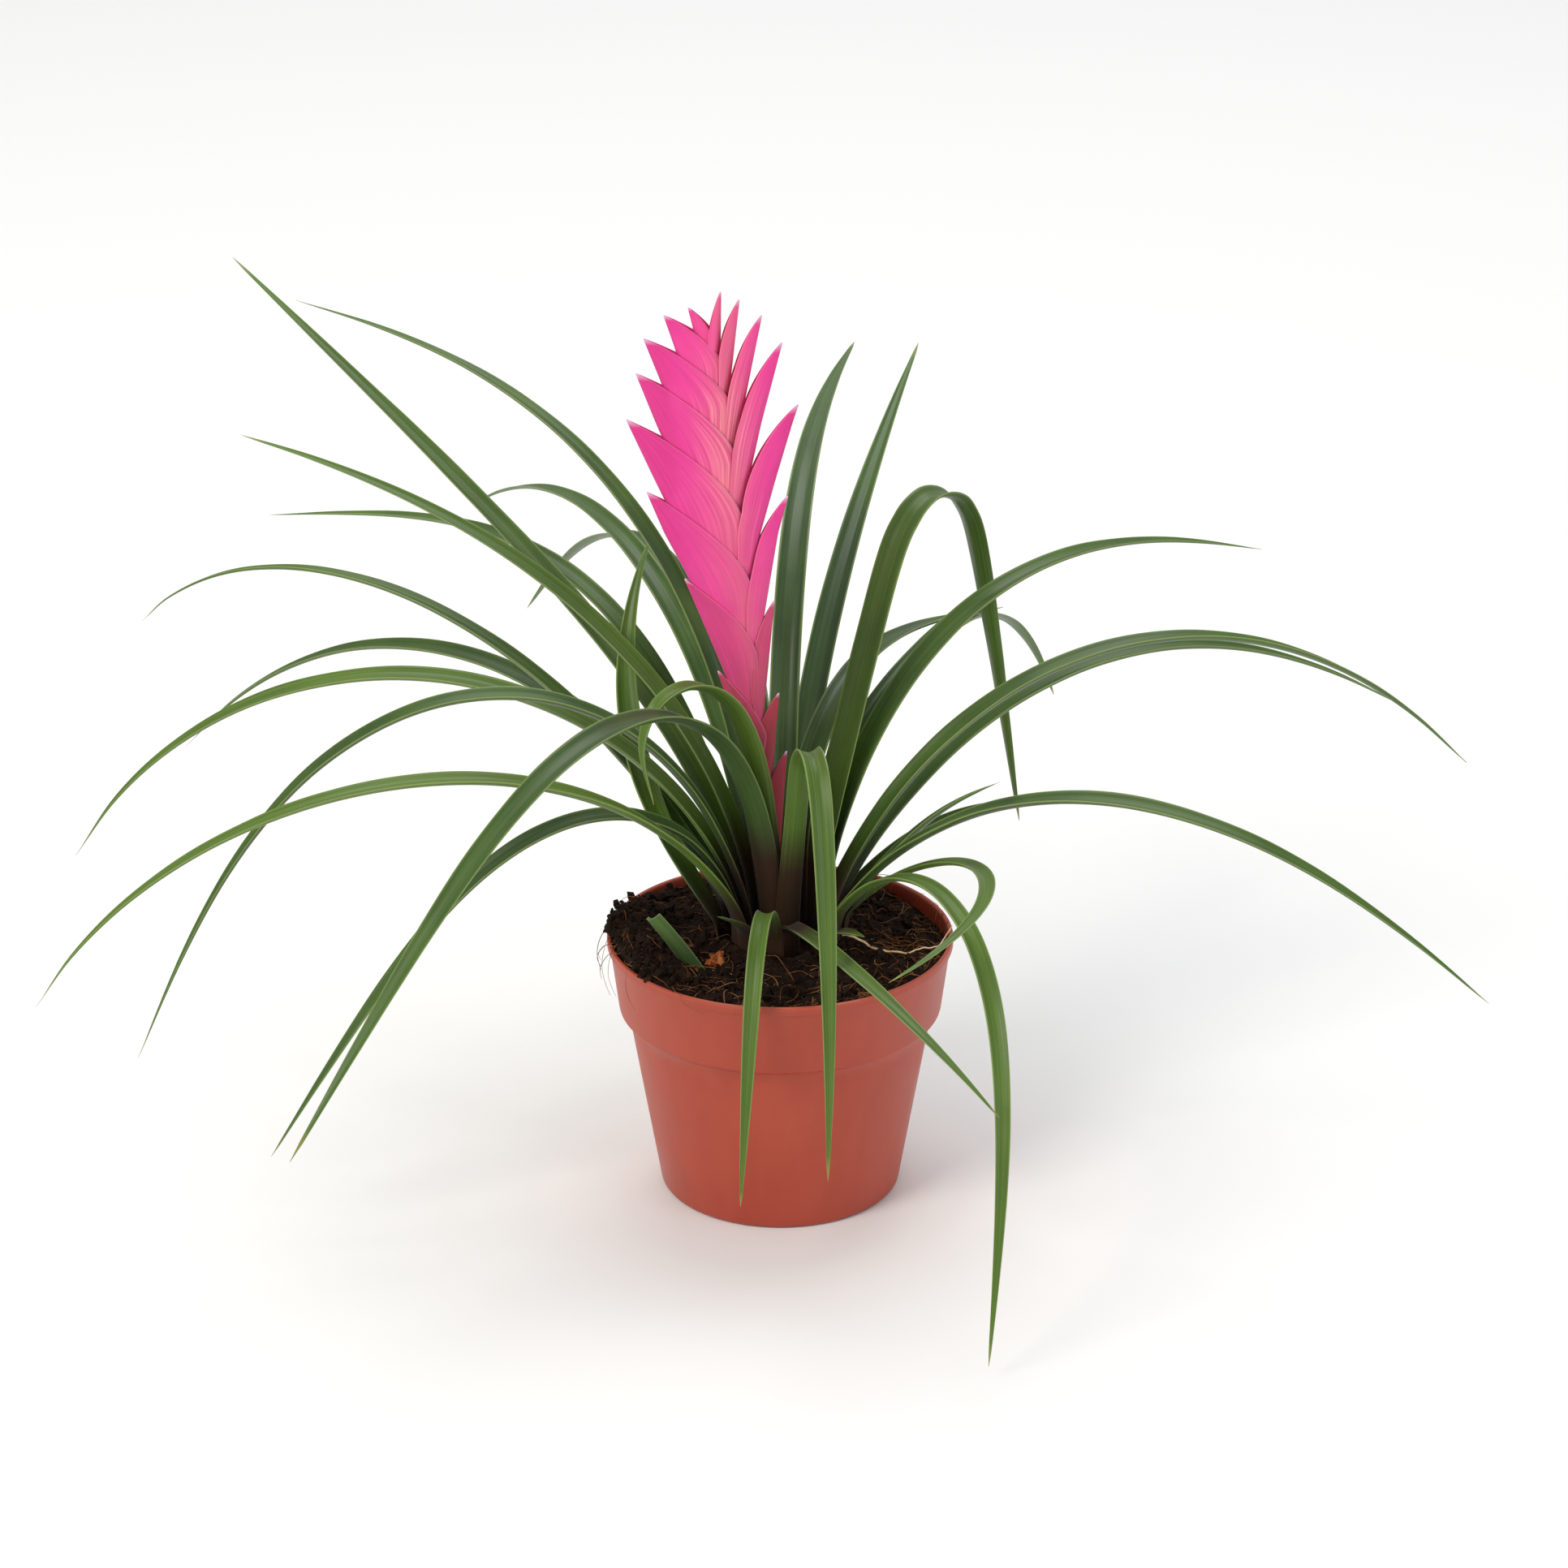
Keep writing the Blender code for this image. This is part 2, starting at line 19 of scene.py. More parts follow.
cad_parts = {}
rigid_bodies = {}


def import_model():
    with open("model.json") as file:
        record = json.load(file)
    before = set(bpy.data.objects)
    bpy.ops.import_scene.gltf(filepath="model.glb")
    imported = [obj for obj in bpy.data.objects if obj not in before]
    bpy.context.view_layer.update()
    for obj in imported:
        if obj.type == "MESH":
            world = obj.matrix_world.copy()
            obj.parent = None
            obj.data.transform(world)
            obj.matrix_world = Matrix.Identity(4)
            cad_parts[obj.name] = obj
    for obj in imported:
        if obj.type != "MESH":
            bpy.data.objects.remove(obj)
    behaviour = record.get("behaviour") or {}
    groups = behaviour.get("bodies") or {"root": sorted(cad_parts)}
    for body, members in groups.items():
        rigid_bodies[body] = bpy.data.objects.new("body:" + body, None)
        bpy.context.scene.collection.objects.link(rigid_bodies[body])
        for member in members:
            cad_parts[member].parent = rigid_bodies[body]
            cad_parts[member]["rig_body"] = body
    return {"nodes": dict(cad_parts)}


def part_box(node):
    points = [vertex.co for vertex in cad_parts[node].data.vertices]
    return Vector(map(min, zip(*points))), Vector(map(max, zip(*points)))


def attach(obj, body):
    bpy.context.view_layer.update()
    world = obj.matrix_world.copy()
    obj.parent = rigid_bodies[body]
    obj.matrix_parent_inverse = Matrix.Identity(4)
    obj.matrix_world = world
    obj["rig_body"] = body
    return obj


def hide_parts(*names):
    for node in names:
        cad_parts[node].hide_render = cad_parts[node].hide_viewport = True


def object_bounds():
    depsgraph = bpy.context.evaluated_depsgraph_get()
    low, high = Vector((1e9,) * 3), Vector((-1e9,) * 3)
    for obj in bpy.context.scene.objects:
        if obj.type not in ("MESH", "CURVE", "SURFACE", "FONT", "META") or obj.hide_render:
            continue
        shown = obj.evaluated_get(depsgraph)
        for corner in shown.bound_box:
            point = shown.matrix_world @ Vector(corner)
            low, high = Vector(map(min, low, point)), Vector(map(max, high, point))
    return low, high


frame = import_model()
cad_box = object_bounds()
MM = 0.001
random.seed(5)
box_mm = [round(v / MM) for corner in cad_box for v in corner]
print("packed nodes:", len(frame["nodes"]), "box in mm:", box_mm)

# %% [markdown]
# ## Colour and nodes
#
# Colours are written as the hex values that a colour picker shows, so one function turns them into the
# linear values that Blender mixes with. A second function adds a shader node, sets it and links it. The
# short ones after it each add one kind of node, which keeps a material short enough to read as a recipe.


# %% Helpers for materials
def linear(code):
    values = [int(code[i : i + 2], 16) / 255 for i in (1, 3, 5)]
    return (*[v / 12.92 if v <= 0.04045 else ((v + 0.055) / 1.055) ** 2.4 for v in values], 1.0)


def add(tree, kind, inputs=None, stops=None, **settings):
    made = tree.nodes.new(kind)
    for name, value in settings.items():
        setattr(made, name, value)
    for name, value in (inputs or {}).items():
        if isinstance(value, bpy.types.NodeSocket):
            tree.links.new(value, made.inputs[name])
        else:
            made.inputs[name].default_value = linear(value) if isinstance(value, str) else value
    for i, (place, code) in enumerate(stops or []):
        step = made.color_ramp.elements[i] if i < 2 else made.color_ramp.elements.new(place)
        step.position = place
        step.color = linear(code) if isinstance(code, str) else (code, code, code, 1.0)
    return made


def new_material(name, **constants):
    made = bpy.data.materials.new(name)
    made.use_nodes = True
    shader = made.node_tree.nodes["Principled BSDF"]
    for socket, value in constants.items():
        shader.inputs[socket.replace("_", " ")].default_value = value
    return made, made.node_tree, shader


def marked(tree, *names):
    """The values that the points of a piece carry under these names."""
    return [add(tree, "ShaderNodeAttribute", attribute_name=name).outputs["Fac"] for name in names]


def own_place(tree):
    return add(tree, "ShaderNodeTexCoord").outputs["Object"]


def mottle(tree, where, scale, detail, roughness=0.5):
    inputs = {"Vector": where, "Scale": scale, "Detail": detail, "Roughness": roughness}
    return add(tree, "ShaderNodeTexNoise", inputs).outputs["Fac"]


def ramp(tree, value, stops):
    return add(tree, "ShaderNodeValToRGB", {"Fac": value}, stops=stops).outputs["Color"]


def spread(tree, value, low, high, to_low, to_high):
    """The value's stretch from low to high becomes to_low to to_high, and it is held there outside it."""
    inputs = {"Value": value, "From Min": low, "From Max": high, "To Min": to_low, "To Max": to_high}
    return add(tree, "ShaderNodeMapRange", inputs).outputs[0]


def calc(tree, operation, *terms, clamp=False):
    inputs = dict(enumerate(terms))
    return add(tree, "ShaderNodeMath", inputs, operation=operation, use_clamp=clamp).outputs[0]


def multiply(tree, vector, factor):
    return add(tree, "ShaderNodeVectorMath", {0: vector, 1: factor}, operation="MULTIPLY").outputs[0]


def laid_over(tree, share, under, over):
    """The colour under, covered by the colour over as far as share says."""
    inputs = {"Factor": share, "A": under, "B": over}
    return add(tree, "ShaderNodeMix", inputs, data_type="RGBA").outputs["Result"]


def relief(tree, height, strength, depth, **under):
    inputs = {"Height": height, "Strength": strength, "Distance": depth, **under}
    return add(tree, "ShaderNodeBump", inputs).outputs[0]


def paint(pieces, material):
    for piece in pieces:
        piece.data.materials.clear()
        piece.data.materials.append(material)


# %% [markdown]
# ## Camera, floor and light
#
# The plant is seen from its front and about 25 degrees above the rim of the pot, from a little over a
# metre away, as one looks at a plant on a low table. A long lens keeps that distance and fills the view.
# The floor is plain and pale. One large soft light at the upper left does most of the work, a wide one
# overhead fills the leaves from above, and a weak one at the right keeps that side from going black.

# %% Camera
VIEW_RISE = math.radians(25.0)
VIEW_DISTANCE = 1.2
RIM_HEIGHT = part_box("pot")[1].z
AIM = Vector((0.001, 0.0, 0.112))
LENS = 106
camera_data = bpy.data.cameras.new("camera")
camera_data.lens = LENS
camera = bpy.data.objects.new("camera", camera_data)
bpy.context.scene.collection.objects.link(camera)
camera.location = (
    0.0,
    -VIEW_DISTANCE * math.cos(VIEW_RISE),
    RIM_HEIGHT + VIEW_DISTANCE * math.sin(VIEW_RISE),
)
camera.rotation_mode = "QUATERNION"
camera.rotation_quaternion = (AIM - camera.location).to_track_quat("-Z", "Y")
camera_data.clip_start = 0.05
camera_data.clip_end = 50
bpy.context.scene.camera = camera
print("camera at", [round(v, 3) for v in camera.location])

# %% Floor and lights
FLOOR_DROP = 0.2 * MM
FLOOR_SIZE = 14
bpy.ops.object.select_all(action="DESELECT")
bpy.ops.mesh.primitive_plane_add(size=FLOOR_SIZE, location=(0, 0, -FLOOR_DROP))
floor = bpy.context.active_object
floor.name = "floor"
floor_paint, tree, shader = new_material("matt_white_studio_board", Roughness=0.7)
soft_mottle = add(tree, "ShaderNodeTexNoise", {"Scale": 3.0, "Detail": 2.0})
floor_tone = ramp(tree, soft_mottle.outputs["Fac"], [(0.0, "#f1f1ef"), (1.0, "#f6f6f5")])
tree.links.new(floor_tone, shader.inputs["Base Color"])
floor.data.materials.append(floor_paint)
LIT_POINT = Vector((0, 0, 0.1))


def area_light(name, place, size, watts, tint):
    data = bpy.data.lights.new(name, "AREA")
    data.shape = "DISK"
    data.size = size
    data.energy = watts
    data.color = linear(tint)[:3]
    lamp = bpy.data.objects.new(name, data)
    bpy.context.scene.collection.objects.link(lamp)
    lamp.location = place
    lamp.rotation_mode = "QUATERNION"
    lamp.rotation_quaternion = (LIT_POINT - lamp.location).to_track_quat("-Z", "Y")


area_light("key_upper_left", (-1.3, -1.3, 1.7), 1.0, 31, "#fffaf2")
area_light("overhead", (0.1, 1.0, 2.3), 1.8, 27, "#ffffff")
area_light("fill_right", (1.8, -1.2, 0.9), 1.4, 9, "#f2f6ff")
world = bpy.data.worlds.new("soft_room")
bpy.context.scene.world = world
world.use_nodes = True
world.node_tree.nodes["Background"].inputs["Color"].default_value = linear("#f7f9fc")
world.node_tree.nodes["Background"].inputs["Strength"].default_value = 0.55
bpy.context.scene.view_settings.view_transform = "Standard"
print("floor at", round(floor.location.z, 4))

# %% [markdown]
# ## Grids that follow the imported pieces
#
# A leaf is a thin strip that bends, twists and hollows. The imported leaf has 14 cross-sections, each with
# five places across it, which is right for its shape but coarse for the eye. One fine grid is made once,
# copied for each leaf, and laid on a smooth surface through those cross-sections. The grid's own UV map
# then runs across the leaf and along it, which is what the veins and the margins need.


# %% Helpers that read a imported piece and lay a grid
def select_only(piece):
    bpy.ops.object.select_all(action="DESELECT")
    piece.select_set(True)
    bpy.context.view_layer.objects.active = piece


def grid_sheet(name, across, along):
    bpy.ops.object.select_all(action="DESELECT")
    bpy.ops.mesh.primitive_grid_add(x_subdivisions=across, y_subdivisions=along, size=0.1, calc_uvs=True)
    sheet = bpy.context.active_object
    sheet.name = name
    return sheet


def copy_of(sheet, name):
    piece = bpy.data.objects.new(name, sheet.data.copy())
    bpy.context.scene.collection.objects.link(piece)
    return piece


def resample(rows, places):
    """A smooth curve through rows of points, read at places counted in rows."""
    rows = np.concatenate([2 * rows[:1] - rows[1:2], rows, 2 * rows[-1:] - rows[-2:-1]])
    whole = np.clip(places.astype(int), 0, len(rows) - 4)
    t = (places - whole).reshape(-1, *[1] * (rows.ndim - 1))
    a, b, c, d = (rows[whole + k] for k in range(4))
    return b + 0.5 * t * (c - a + t * (2 * a - 5 * b + 4 * c - d + t * (3 * (b - c) + d - a)))


def welded(node):
    """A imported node's points and the neighbours of each, with its loose triangles joined."""
    mesh = frame["nodes"][node].data
    spots = {}
    points = []
    index = []
    for vertex in mesh.vertices:
        key = tuple(round(c / (0.002 * MM)) for c in vertex.co)
        if key not in spots:
            spots[key] = len(points)
            points.append(vertex.co[:])
        index.append(spots[key])
    near = [set() for _ in points]
    for face in mesh.polygons:
        ring = [index[v] for v in face.vertices]
        for a in ring:
            near[a].update(ring)
    return np.array(points), near


def attribute(piece, name, values):
    made = piece.data.attributes.new(name, "FLOAT", "POINT")
    made.data.foreach_set("value", np.asarray(values, np.float32).ravel())


# %% Leaf cross-sections
CROWN_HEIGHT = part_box("flower_stem")[0].z
CROWN_REACH = 19 * MM
FOOT_RISE = 0.8 * MM
COLUMN_EDGES = (-0.8, -0.3, 0.3, 0.8)


def leaf_rows(node):
    """The cross-sections of a packed leaf: five points across each, and how thick it is at its middle."""
    points, near = welded(node)
    reach = np.hypot(points[:, 0], points[:, 1])
    at_foot = (points[:, 2] < CROWN_HEIGHT + FOOT_RISE) & (reach < CROWN_REACH)
    row = np.flatnonzero(at_foot).tolist()
    seen = set(row)
    rows = []
    thick = []
    while row:
        spots = points[row]
        gaps = np.linalg.norm(spots[:, None] - spots[None], axis=2)
        a, b = np.unravel_index(gaps.argmax(), gaps.shape)
        middle = (spots[a] + spots[b]) / 2
        share = (spots - middle) @ (spots[b] - spots[a]) / gaps.max() ** 2 * 2
        column = np.digitize(share, COLUMN_EDGES)
        line = np.array([spots[column == k].mean(0) for k in range(5)])
        if rows and np.dot(line[4] - line[0], rows[-1][4] - rows[-1][0]) < 0:
            line = line[::-1]
        pair = spots[column == 2]
        thick.append(np.linalg.norm(pair[0] - pair[-1]))
        rows.append(line)
        row = [j for j in sorted(set().union(*(near[i] for i in row))) if j not in seen]
        seen.update(row)
    return np.array(rows), np.array(thick)


sample_rows, sample_thick = leaf_rows("leaf_01")
print("leaf_01 rows:", len(sample_rows), "thickness mm:", (sample_thick / MM).round(2))

# %% [markdown]
# ## The leaves
#
# Each copy of the grid is laid on its leaf, given its thickness by Solidify, and marked with a few values
# for the material: how far each point is from the crown, how far along it is, and how yellow or blue the
# whole leaf is. Old outer leaves that hang in the light are yellower, and the upright ones are duller. The
# last part of each strip is drawn in to a point, and its margins wander by a fraction of a millimetre.

# %% Lay the leaves
BLADE_ACROSS = 12
BLADE_ALONG = 84
WAVE_HEIGHT = 0.22 * MM
WAVE_LENGTH = 17 * MM
WAVE_START = 25 * MM
WAVE_GROWTH = 20 * MM
WAVE_FULL_WIDTH = 6 * MM
GROOVE_DEPTH = 0.16 * MM
POINT_SHARE = 0.02
POINT_WIDTH = 0.12
MARGIN_THINNING = 0.45
TIP_THINNING = 0.5
SHEATH_LENGTH = 46 * MM
SHEATH_LOSS = 1.4
LEAF_TONES = {
    1: 0.75, 2: 0.6, 3: 0.1, 4: 0.15, 5: 0.35, 6: 0.2, 7: 0.0, 8: 0.7, 9: 0.45, 10: -0.25, 11: -0.3,
    12: -0.1, 13: 0.5, 14: 0.5, 15: 0.1, 16: -0.1, 17: 0.3, 18: -0.2, 19: 0.0, 20: 0.3, 21: -0.5,
    22: -0.6, 23: 0.6, 24: 0.5, 25: 0.35, 34: 0.5, 35: 0.4,
}
leaf_names = sorted(n for n in frame["nodes"] if n.startswith("leaf_"))
blade = grid_sheet("blade_pattern", BLADE_ACROSS, BLADE_ALONG)
leaves = []
for node in leaf_names:
    number = int(node[-2:])
    rows, thick = leaf_rows(node)
    places = np.linspace(0, len(rows) - 1, BLADE_ALONG + 1)
    lines = resample(rows, places)
    thickness = np.interp(places, range(len(thick)), thick)
    spots = resample(lines.swapaxes(0, 1), np.linspace(0, 4, BLADE_ACROSS + 1)).swapaxes(0, 1)
    centre = spots[:, BLADE_ACROSS // 2 : BLADE_ACROSS // 2 + 1]
    length = np.concatenate([[0], np.cumsum(np.linalg.norm(np.diff(centre[:, 0], axis=0), axis=1))])
    along = length / length[-1]
    narrow = np.clip((1 - along) / POINT_SHARE, POINT_WIDTH, 1)[:, None, None]
    spots = centre + (spots - centre) * narrow
    side = spots[:, -1] - spots[:, 0]
    width = np.linalg.norm(side, axis=1)
    up = np.cross(np.gradient(spots[:, BLADE_ACROSS // 2], axis=0), side)
    up /= np.linalg.norm(up, axis=1)[:, None]
    across = np.linspace(-1, 1, BLADE_ACROSS + 1)
    for i in range(BLADE_ALONG + 1):
        free = min(max((length[i] - WAVE_START) / WAVE_GROWTH, 0), 1) * min(width[i] / WAVE_FULL_WIDTH, 1)
        for j in range(BLADE_ACROSS + 1):
            wander = noise.noise((length[i] / WAVE_LENGTH, across[j] * 0.6, number * 7.3))
            groove = GROOVE_DEPTH * max(0, 1 - abs(across[j]) * 5)
            spots[i, j] += up[i] * free * (WAVE_HEIGHT * wander * abs(across[j]) ** 1.5 - groove)
    leaf = copy_of(blade, f"leaf_blade_{number:02d}")
    leaf.data.vertices.foreach_set("co", spots.reshape(-1).astype(np.float32))
    attribute(leaf, "from_crown", np.repeat(length, BLADE_ACROSS + 1))
    attribute(leaf, "along", np.repeat(along, BLADE_ACROSS + 1))
    attribute(leaf, "across", np.tile(across, BLADE_ALONG + 1))
    # inner leaves keep the brown of their sheaths higher up than the outer ones
    foot = rows[0].mean(0)
    same_all_over = {
        "tone": LEAF_TONES.get(number, 0.1 * math.sin(number * 2.4)),
        "seed": number * 0.37,
        "sheath": SHEATH_LENGTH - SHEATH_LOSS * math.hypot(foot[0], foot[1]),
    }
    for name, value in same_all_over.items():
        attribute(leaf, name, np.full(len(leaf.data.vertices), value))
    leaf.data.update()
    group = leaf.vertex_groups.new(name="thickness")
    for i in range(BLADE_ALONG + 1):
        for j in range(BLADE_ACROSS + 1):
            weight = thickness[i] / thick.max() * (1 - MARGIN_THINNING * across[j] ** 4)
            weight = weight * (1 - TIP_THINNING * along[i] ** 8)
            group.add([i * (BLADE_ACROSS + 1) + j], weight, "REPLACE")
    solid = leaf.modifiers.new("thickness", "SOLIDIFY")
    solid.thickness = thick.max()
    solid.offset = 0
    solid.vertex_group = "thickness"
    select_only(leaf)
    bpy.ops.object.modifier_apply(modifier="thickness")
    bpy.ops.object.shade_smooth()
    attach(leaf, "root")
    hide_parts(node)
    leaves.append(leaf)
bpy.data.objects.remove(blade)
print("leaves laid:", len(leaves), "faces each:", len(leaves[0].data.polygons))

# %% [markdown]
# ## The skin of the leaves
#
# A living leaf is a satin surface over green tissue. Its veins run side by side from the crown to the tip,
# about half a millimetre apart, and show as faint streaks. The margins are a thin pale line, the crown end
# is a dull purple brown that fades to green over some 15 mm, and the tip dries to straw. The veins are
# drawn from the values marked across and along the leaf, so they narrow with it as real ones do.

# %% Leaf material
leaf_skin, tree, shader = new_material(
    "living_leaf_skin",
    IOR=1.42,
    Subsurface_Weight=0.06,
    Subsurface_Scale=0.002,
    Sheen_Weight=0.06,
    Sheen_Roughness=0.5,
)
shader.inputs["Subsurface Radius"].default_value = (0.6, 1.0, 0.25)
along, across, from_crown = marked(tree, "along", "across", "from_crown")
tone, seed, sheath = marked(tree, "tone", "seed", "sheath")
# 16 veins over an 8 mm leaf: streaks half a millimetre wide and some 60 mm long
LEAF_VEINS = (8.0, 16.0, 3.0)
SHEATH_RAGGED = 9 * MM
vein_place = add(tree, "ShaderNodeCombineXYZ", {"X": across, "Y": from_crown, "Z": seed})
veins = mottle(tree, multiply(tree, vein_place.outputs[0], LEAF_VEINS), 1.0, 3.0, 0.55)
clouds = mottle(tree, own_place(tree), 45.0, 3.0)
green = ramp(tree, clouds, [(0.3, "#2a4413"), (0.72, "#44601c")])
yellow_share = calc(tree, "MULTIPLY", tone, 0.8, clamp=True)
yellowed = laid_over(tree, yellow_share, green, "#5f7b20")
dull_share = calc(tree, "MULTIPLY", tone, -0.75, clamp=True)
dulled = laid_over(tree, dull_share, yellowed, "#33472f")
tipward = spread(tree, along, 0.45, 1.0, 0.0, 0.45)
lighter = laid_over(tree, tipward, dulled, "#567424")
streaked = multiply(tree, lighter, spread(tree, veins, 0.35, 0.65, 0.78, 1.2))
margin = spread(tree, calc(tree, "ABSOLUTE", across), 0.91, 0.98, 0.0, 0.5)
edged = laid_over(tree, margin, streaked, "#93a55c")
ragged = calc(tree, "MULTIPLY_ADD", veins, SHEATH_RAGGED, from_crown)
past_sheath = calc(tree, "SUBTRACT", ragged, sheath)
flush = spread(tree, past_sheath, -8 * MM, 7 * MM, 0.94, 0.0)
flushed = laid_over(tree, flush, edged, "#3a2019")
drying = spread(tree, along, 0.965, 1.0, 0.0, 0.8)
dried = laid_over(tree, drying, flushed, "#a5975a")
tree.links.new(dried, shader.inputs["Base Color"])
tree.links.new(spread(tree, clouds, 0.3, 0.7, 0.34, 0.48), shader.inputs["Roughness"])
tree.links.new(relief(tree, veins, 0.35, 0.12 * MM), shader.inputs["Normal"])
paint(leaves, leaf_skin)
print("leaf skin nodes:", len(tree.nodes))

# %% [markdown]
# ## The flower spike
#
# The spike is flat, like a feather: eighteen bracts in two rows, each folded round the stalk with its keel
# on the outer edge and its point outwards. The older, lower ones lie outside the younger ones, so the front
# shows a plait of overlapping chevrons. The box of each packed bract tells where its foot, its point and
# its side are, and a finer grid is wrapped on the same folded shape.

# %% The stalk's line and radius
points, _ = welded("flower_stem")
heights = np.unique((points[:, 2] / MM).round(1))
stalk_rings = [points[abs(points[:, 2] / MM - h) < 0.15] for h in heights]
stalk_rings = [ring for ring in stalk_rings if len(ring) > 3]
stalk_z = np.array([ring[:, 2].mean() for ring in stalk_rings])
stalk_x = np.array([(ring[:, 0].min() + ring[:, 0].max()) / 2 for ring in stalk_rings])
stalk_r = np.array([np.ptp(ring[:, 0]) / 2 for ring in stalk_rings])
print("stalk rings:", len(stalk_rings), "radius mm:", (stalk_r / MM).round(2))

# %% Lay the bracts
BRACT_ACROSS = 24
BRACT_ALONG = 44
BRACT_THICK = 0.28 * MM
BRACT_PITCH = 7.5 * MM
BRACT_NEST = 0.5 * MM
BRACT_BLUNT = 1.9
BRACT_CLOSING = 0.75
BRACT_GAP = 0.45 * MM
BRACT_SOFT = 0.35 * MM
BRACT_LAP = 2.5 * MM
BRACT_SHIFT = 8.0 * MM
BRACT_CLASP = 3.5 * MM
BRACT_EDGE = 0.25 * MM
FREE_LEFT = 12 * MM
FREE_LEFT_SHARE = 0.84
FREE_RIGHT = 20 * MM
FREE_RIGHT_SHARE = 0.62
FREE_TOP_LOSS = 0.42
bract_names = sorted(n for n in frame["nodes"] if n.startswith("bract_"))
bract_facts = []
for node in bract_names:
    low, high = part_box(node)
    tip_x = np.interp(high.z, stalk_z, stalk_x)
    side = 1 if int(node[-2:]) % 2 else -1
    reach = (high.x - tip_x if side > 0 else tip_x - low.x) - BRACT_THICK / 2
    bract_facts.append((side, low.z, high.z, reach))


def keel(facts, z):
    side, foot, tip, reach = facts
    start = np.interp(foot, stalk_z, stalk_r) + 0.6 * MM
    u = min(max((z - foot) / (tip - foot), 0), 1)
    return start + (max(reach, start + 0.3 * MM) - start) * u


def smooth(t):
    t = min(max(t, 0), 1)
    return t * t * (3 - 2 * t)


def half_width(k, z):
    foot = bract_facts[k][1]
    return np.interp(foot, stalk_z, stalk_r) + 0.5 * MM + BRACT_NEST * (z - foot) / BRACT_PITCH


def opened_at(k, z):
    """0 where a bract is whole and 1 at its point; between them its two margins are apart."""
    side, foot, tip, reach = bract_facts[k]
    if side < 0:
        free_length = FREE_LEFT + FREE_LEFT_SHARE * reach
    else:
        free_length = FREE_RIGHT + FREE_RIGHT_SHARE * reach
    free_length *= 1 - FREE_TOP_LOSS * smooth((k - 8) / 7)
    apex = max(tip - free_length, foot + 4 * MM)
    return max(0.0, (z - apex) / (tip - apex))


def face_at(k, xs, z):
    """How far the face of bract k stands off the flat middle of the spike at places xs along one row.

    xs count from the stalk towards the bract's keel. Each face is a shallow lens that closes towards its
    point, but it always stays just outside the younger bracts that it covers."""
    outer = keel(bract_facts[k], z)
    before = keel(bract_facts[k - 1], z) if k else outer * 2
    share = np.clip(np.where(xs > 0, xs / outer, -xs / before), 0, 1)
    own = half_width(k, z) * (1 - share**BRACT_BLUNT) ** (1 / BRACT_BLUNT)
    own = own * (1 - BRACT_CLOSING * smooth(opened_at(k, z)))
    covered = np.zeros_like(xs)
    if k + 2 < len(bract_facts) and z > bract_facts[k + 2][1]:
        covered = face_at(k + 2, np.abs(xs), z) + np.where(xs > 0, 1, 0.5) * BRACT_GAP
        covered = covered * np.clip((keel(bract_facts[k + 2], z) * 1.15 - np.abs(xs)) / MM, 0, 1)
    return (own + covered + np.sqrt((own - covered) ** 2 + BRACT_SOFT**2)) / 2


bract_sheet = grid_sheet("bract_pattern", BRACT_ACROSS, BRACT_ALONG)
w = np.linspace(-1, 1, BRACT_ACROSS + 1)
spike_low = bract_facts[3][2]
spike_high = bract_facts[-1][2]
bracts = []
for k, node in enumerate(bract_names):
    side, foot, tip, reach = bract_facts[k]
    # the line where the two rows meet lies to the right of the stalk in the middle of the spike
    fold = BRACT_SHIFT * smooth((k - 2) / 4) * smooth((len(bract_names) - k) / 8)
    spots = np.zeros((BRACT_ALONG + 1, BRACT_ACROSS + 1, 3))
    for i in range(BRACT_ALONG + 1):
        z = foot + (tip - foot) * (1 - (1 - i / BRACT_ALONG) ** 1.25)
        outer = keel(bract_facts[k], z)
        before = keel(bract_facts[k - 1], z) if k else outer * 2
        clasp = -min(BRACT_CLASP, 0.3 * before)
        wrap = min(max(side * fold - BRACT_LAP, -0.62 * before), 0.45 * outer)
        wrap = clasp + (wrap - clasp) * smooth((z - foot) / (12 * MM))
        inner = wrap + (outer - BRACT_EDGE - wrap) * opened_at(k, z) ** 1.45
        x = inner + (outer - inner) * (1 - abs(w) ** 1.5)
        y = face_at(k, x, z) * np.sign(w)
        spots[i] = np.stack([side * x + np.interp(z, stalk_z, stalk_x), y, np.full(len(x), z)], 1)
    bract = copy_of(bract_sheet, f"bract_shell_{k + 1:02d}")
    bract.data.vertices.foreach_set("co", spots.reshape(-1).astype(np.float32))
    count = len(bract.data.vertices)
    attribute(bract, "to_keel", np.tile(1 - abs(w), BRACT_ALONG + 1))
    offset = spots[:, :, 0] - np.interp(spots[:, :, 2], stalk_z, stalk_x)
    attribute(bract, "off_axis", abs(offset - 0.4 * BRACT_SHIFT) / (22 * MM))
    attribute(bract, "height", (spots[:, :, 2] - spike_low) / (spike_high - spike_low))
    attribute(bract, "along", np.repeat(np.linspace(0, 1, BRACT_ALONG + 1), BRACT_ACROSS + 1))
    attribute(bract, "up_spike", np.full(count, k / (len(bract_names) - 1)))
    bract.data.update()
    solid = bract.modifiers.new("thickness", "SOLIDIFY")
    solid.thickness = BRACT_THICK
    solid.offset = 0
    select_only(bract)
    bpy.ops.object.modifier_apply(modifier="thickness")
    bpy.ops.object.mode_set(mode="EDIT")
    bpy.ops.mesh.select_all(action="SELECT")
    bpy.ops.mesh.normals_make_consistent(inside=False)
    bpy.ops.object.mode_set(mode="OBJECT")
    bpy.ops.object.shade_smooth()
    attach(bract, "root")
    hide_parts(node)
    bracts.append(bract)
bpy.data.objects.remove(bract_sheet)
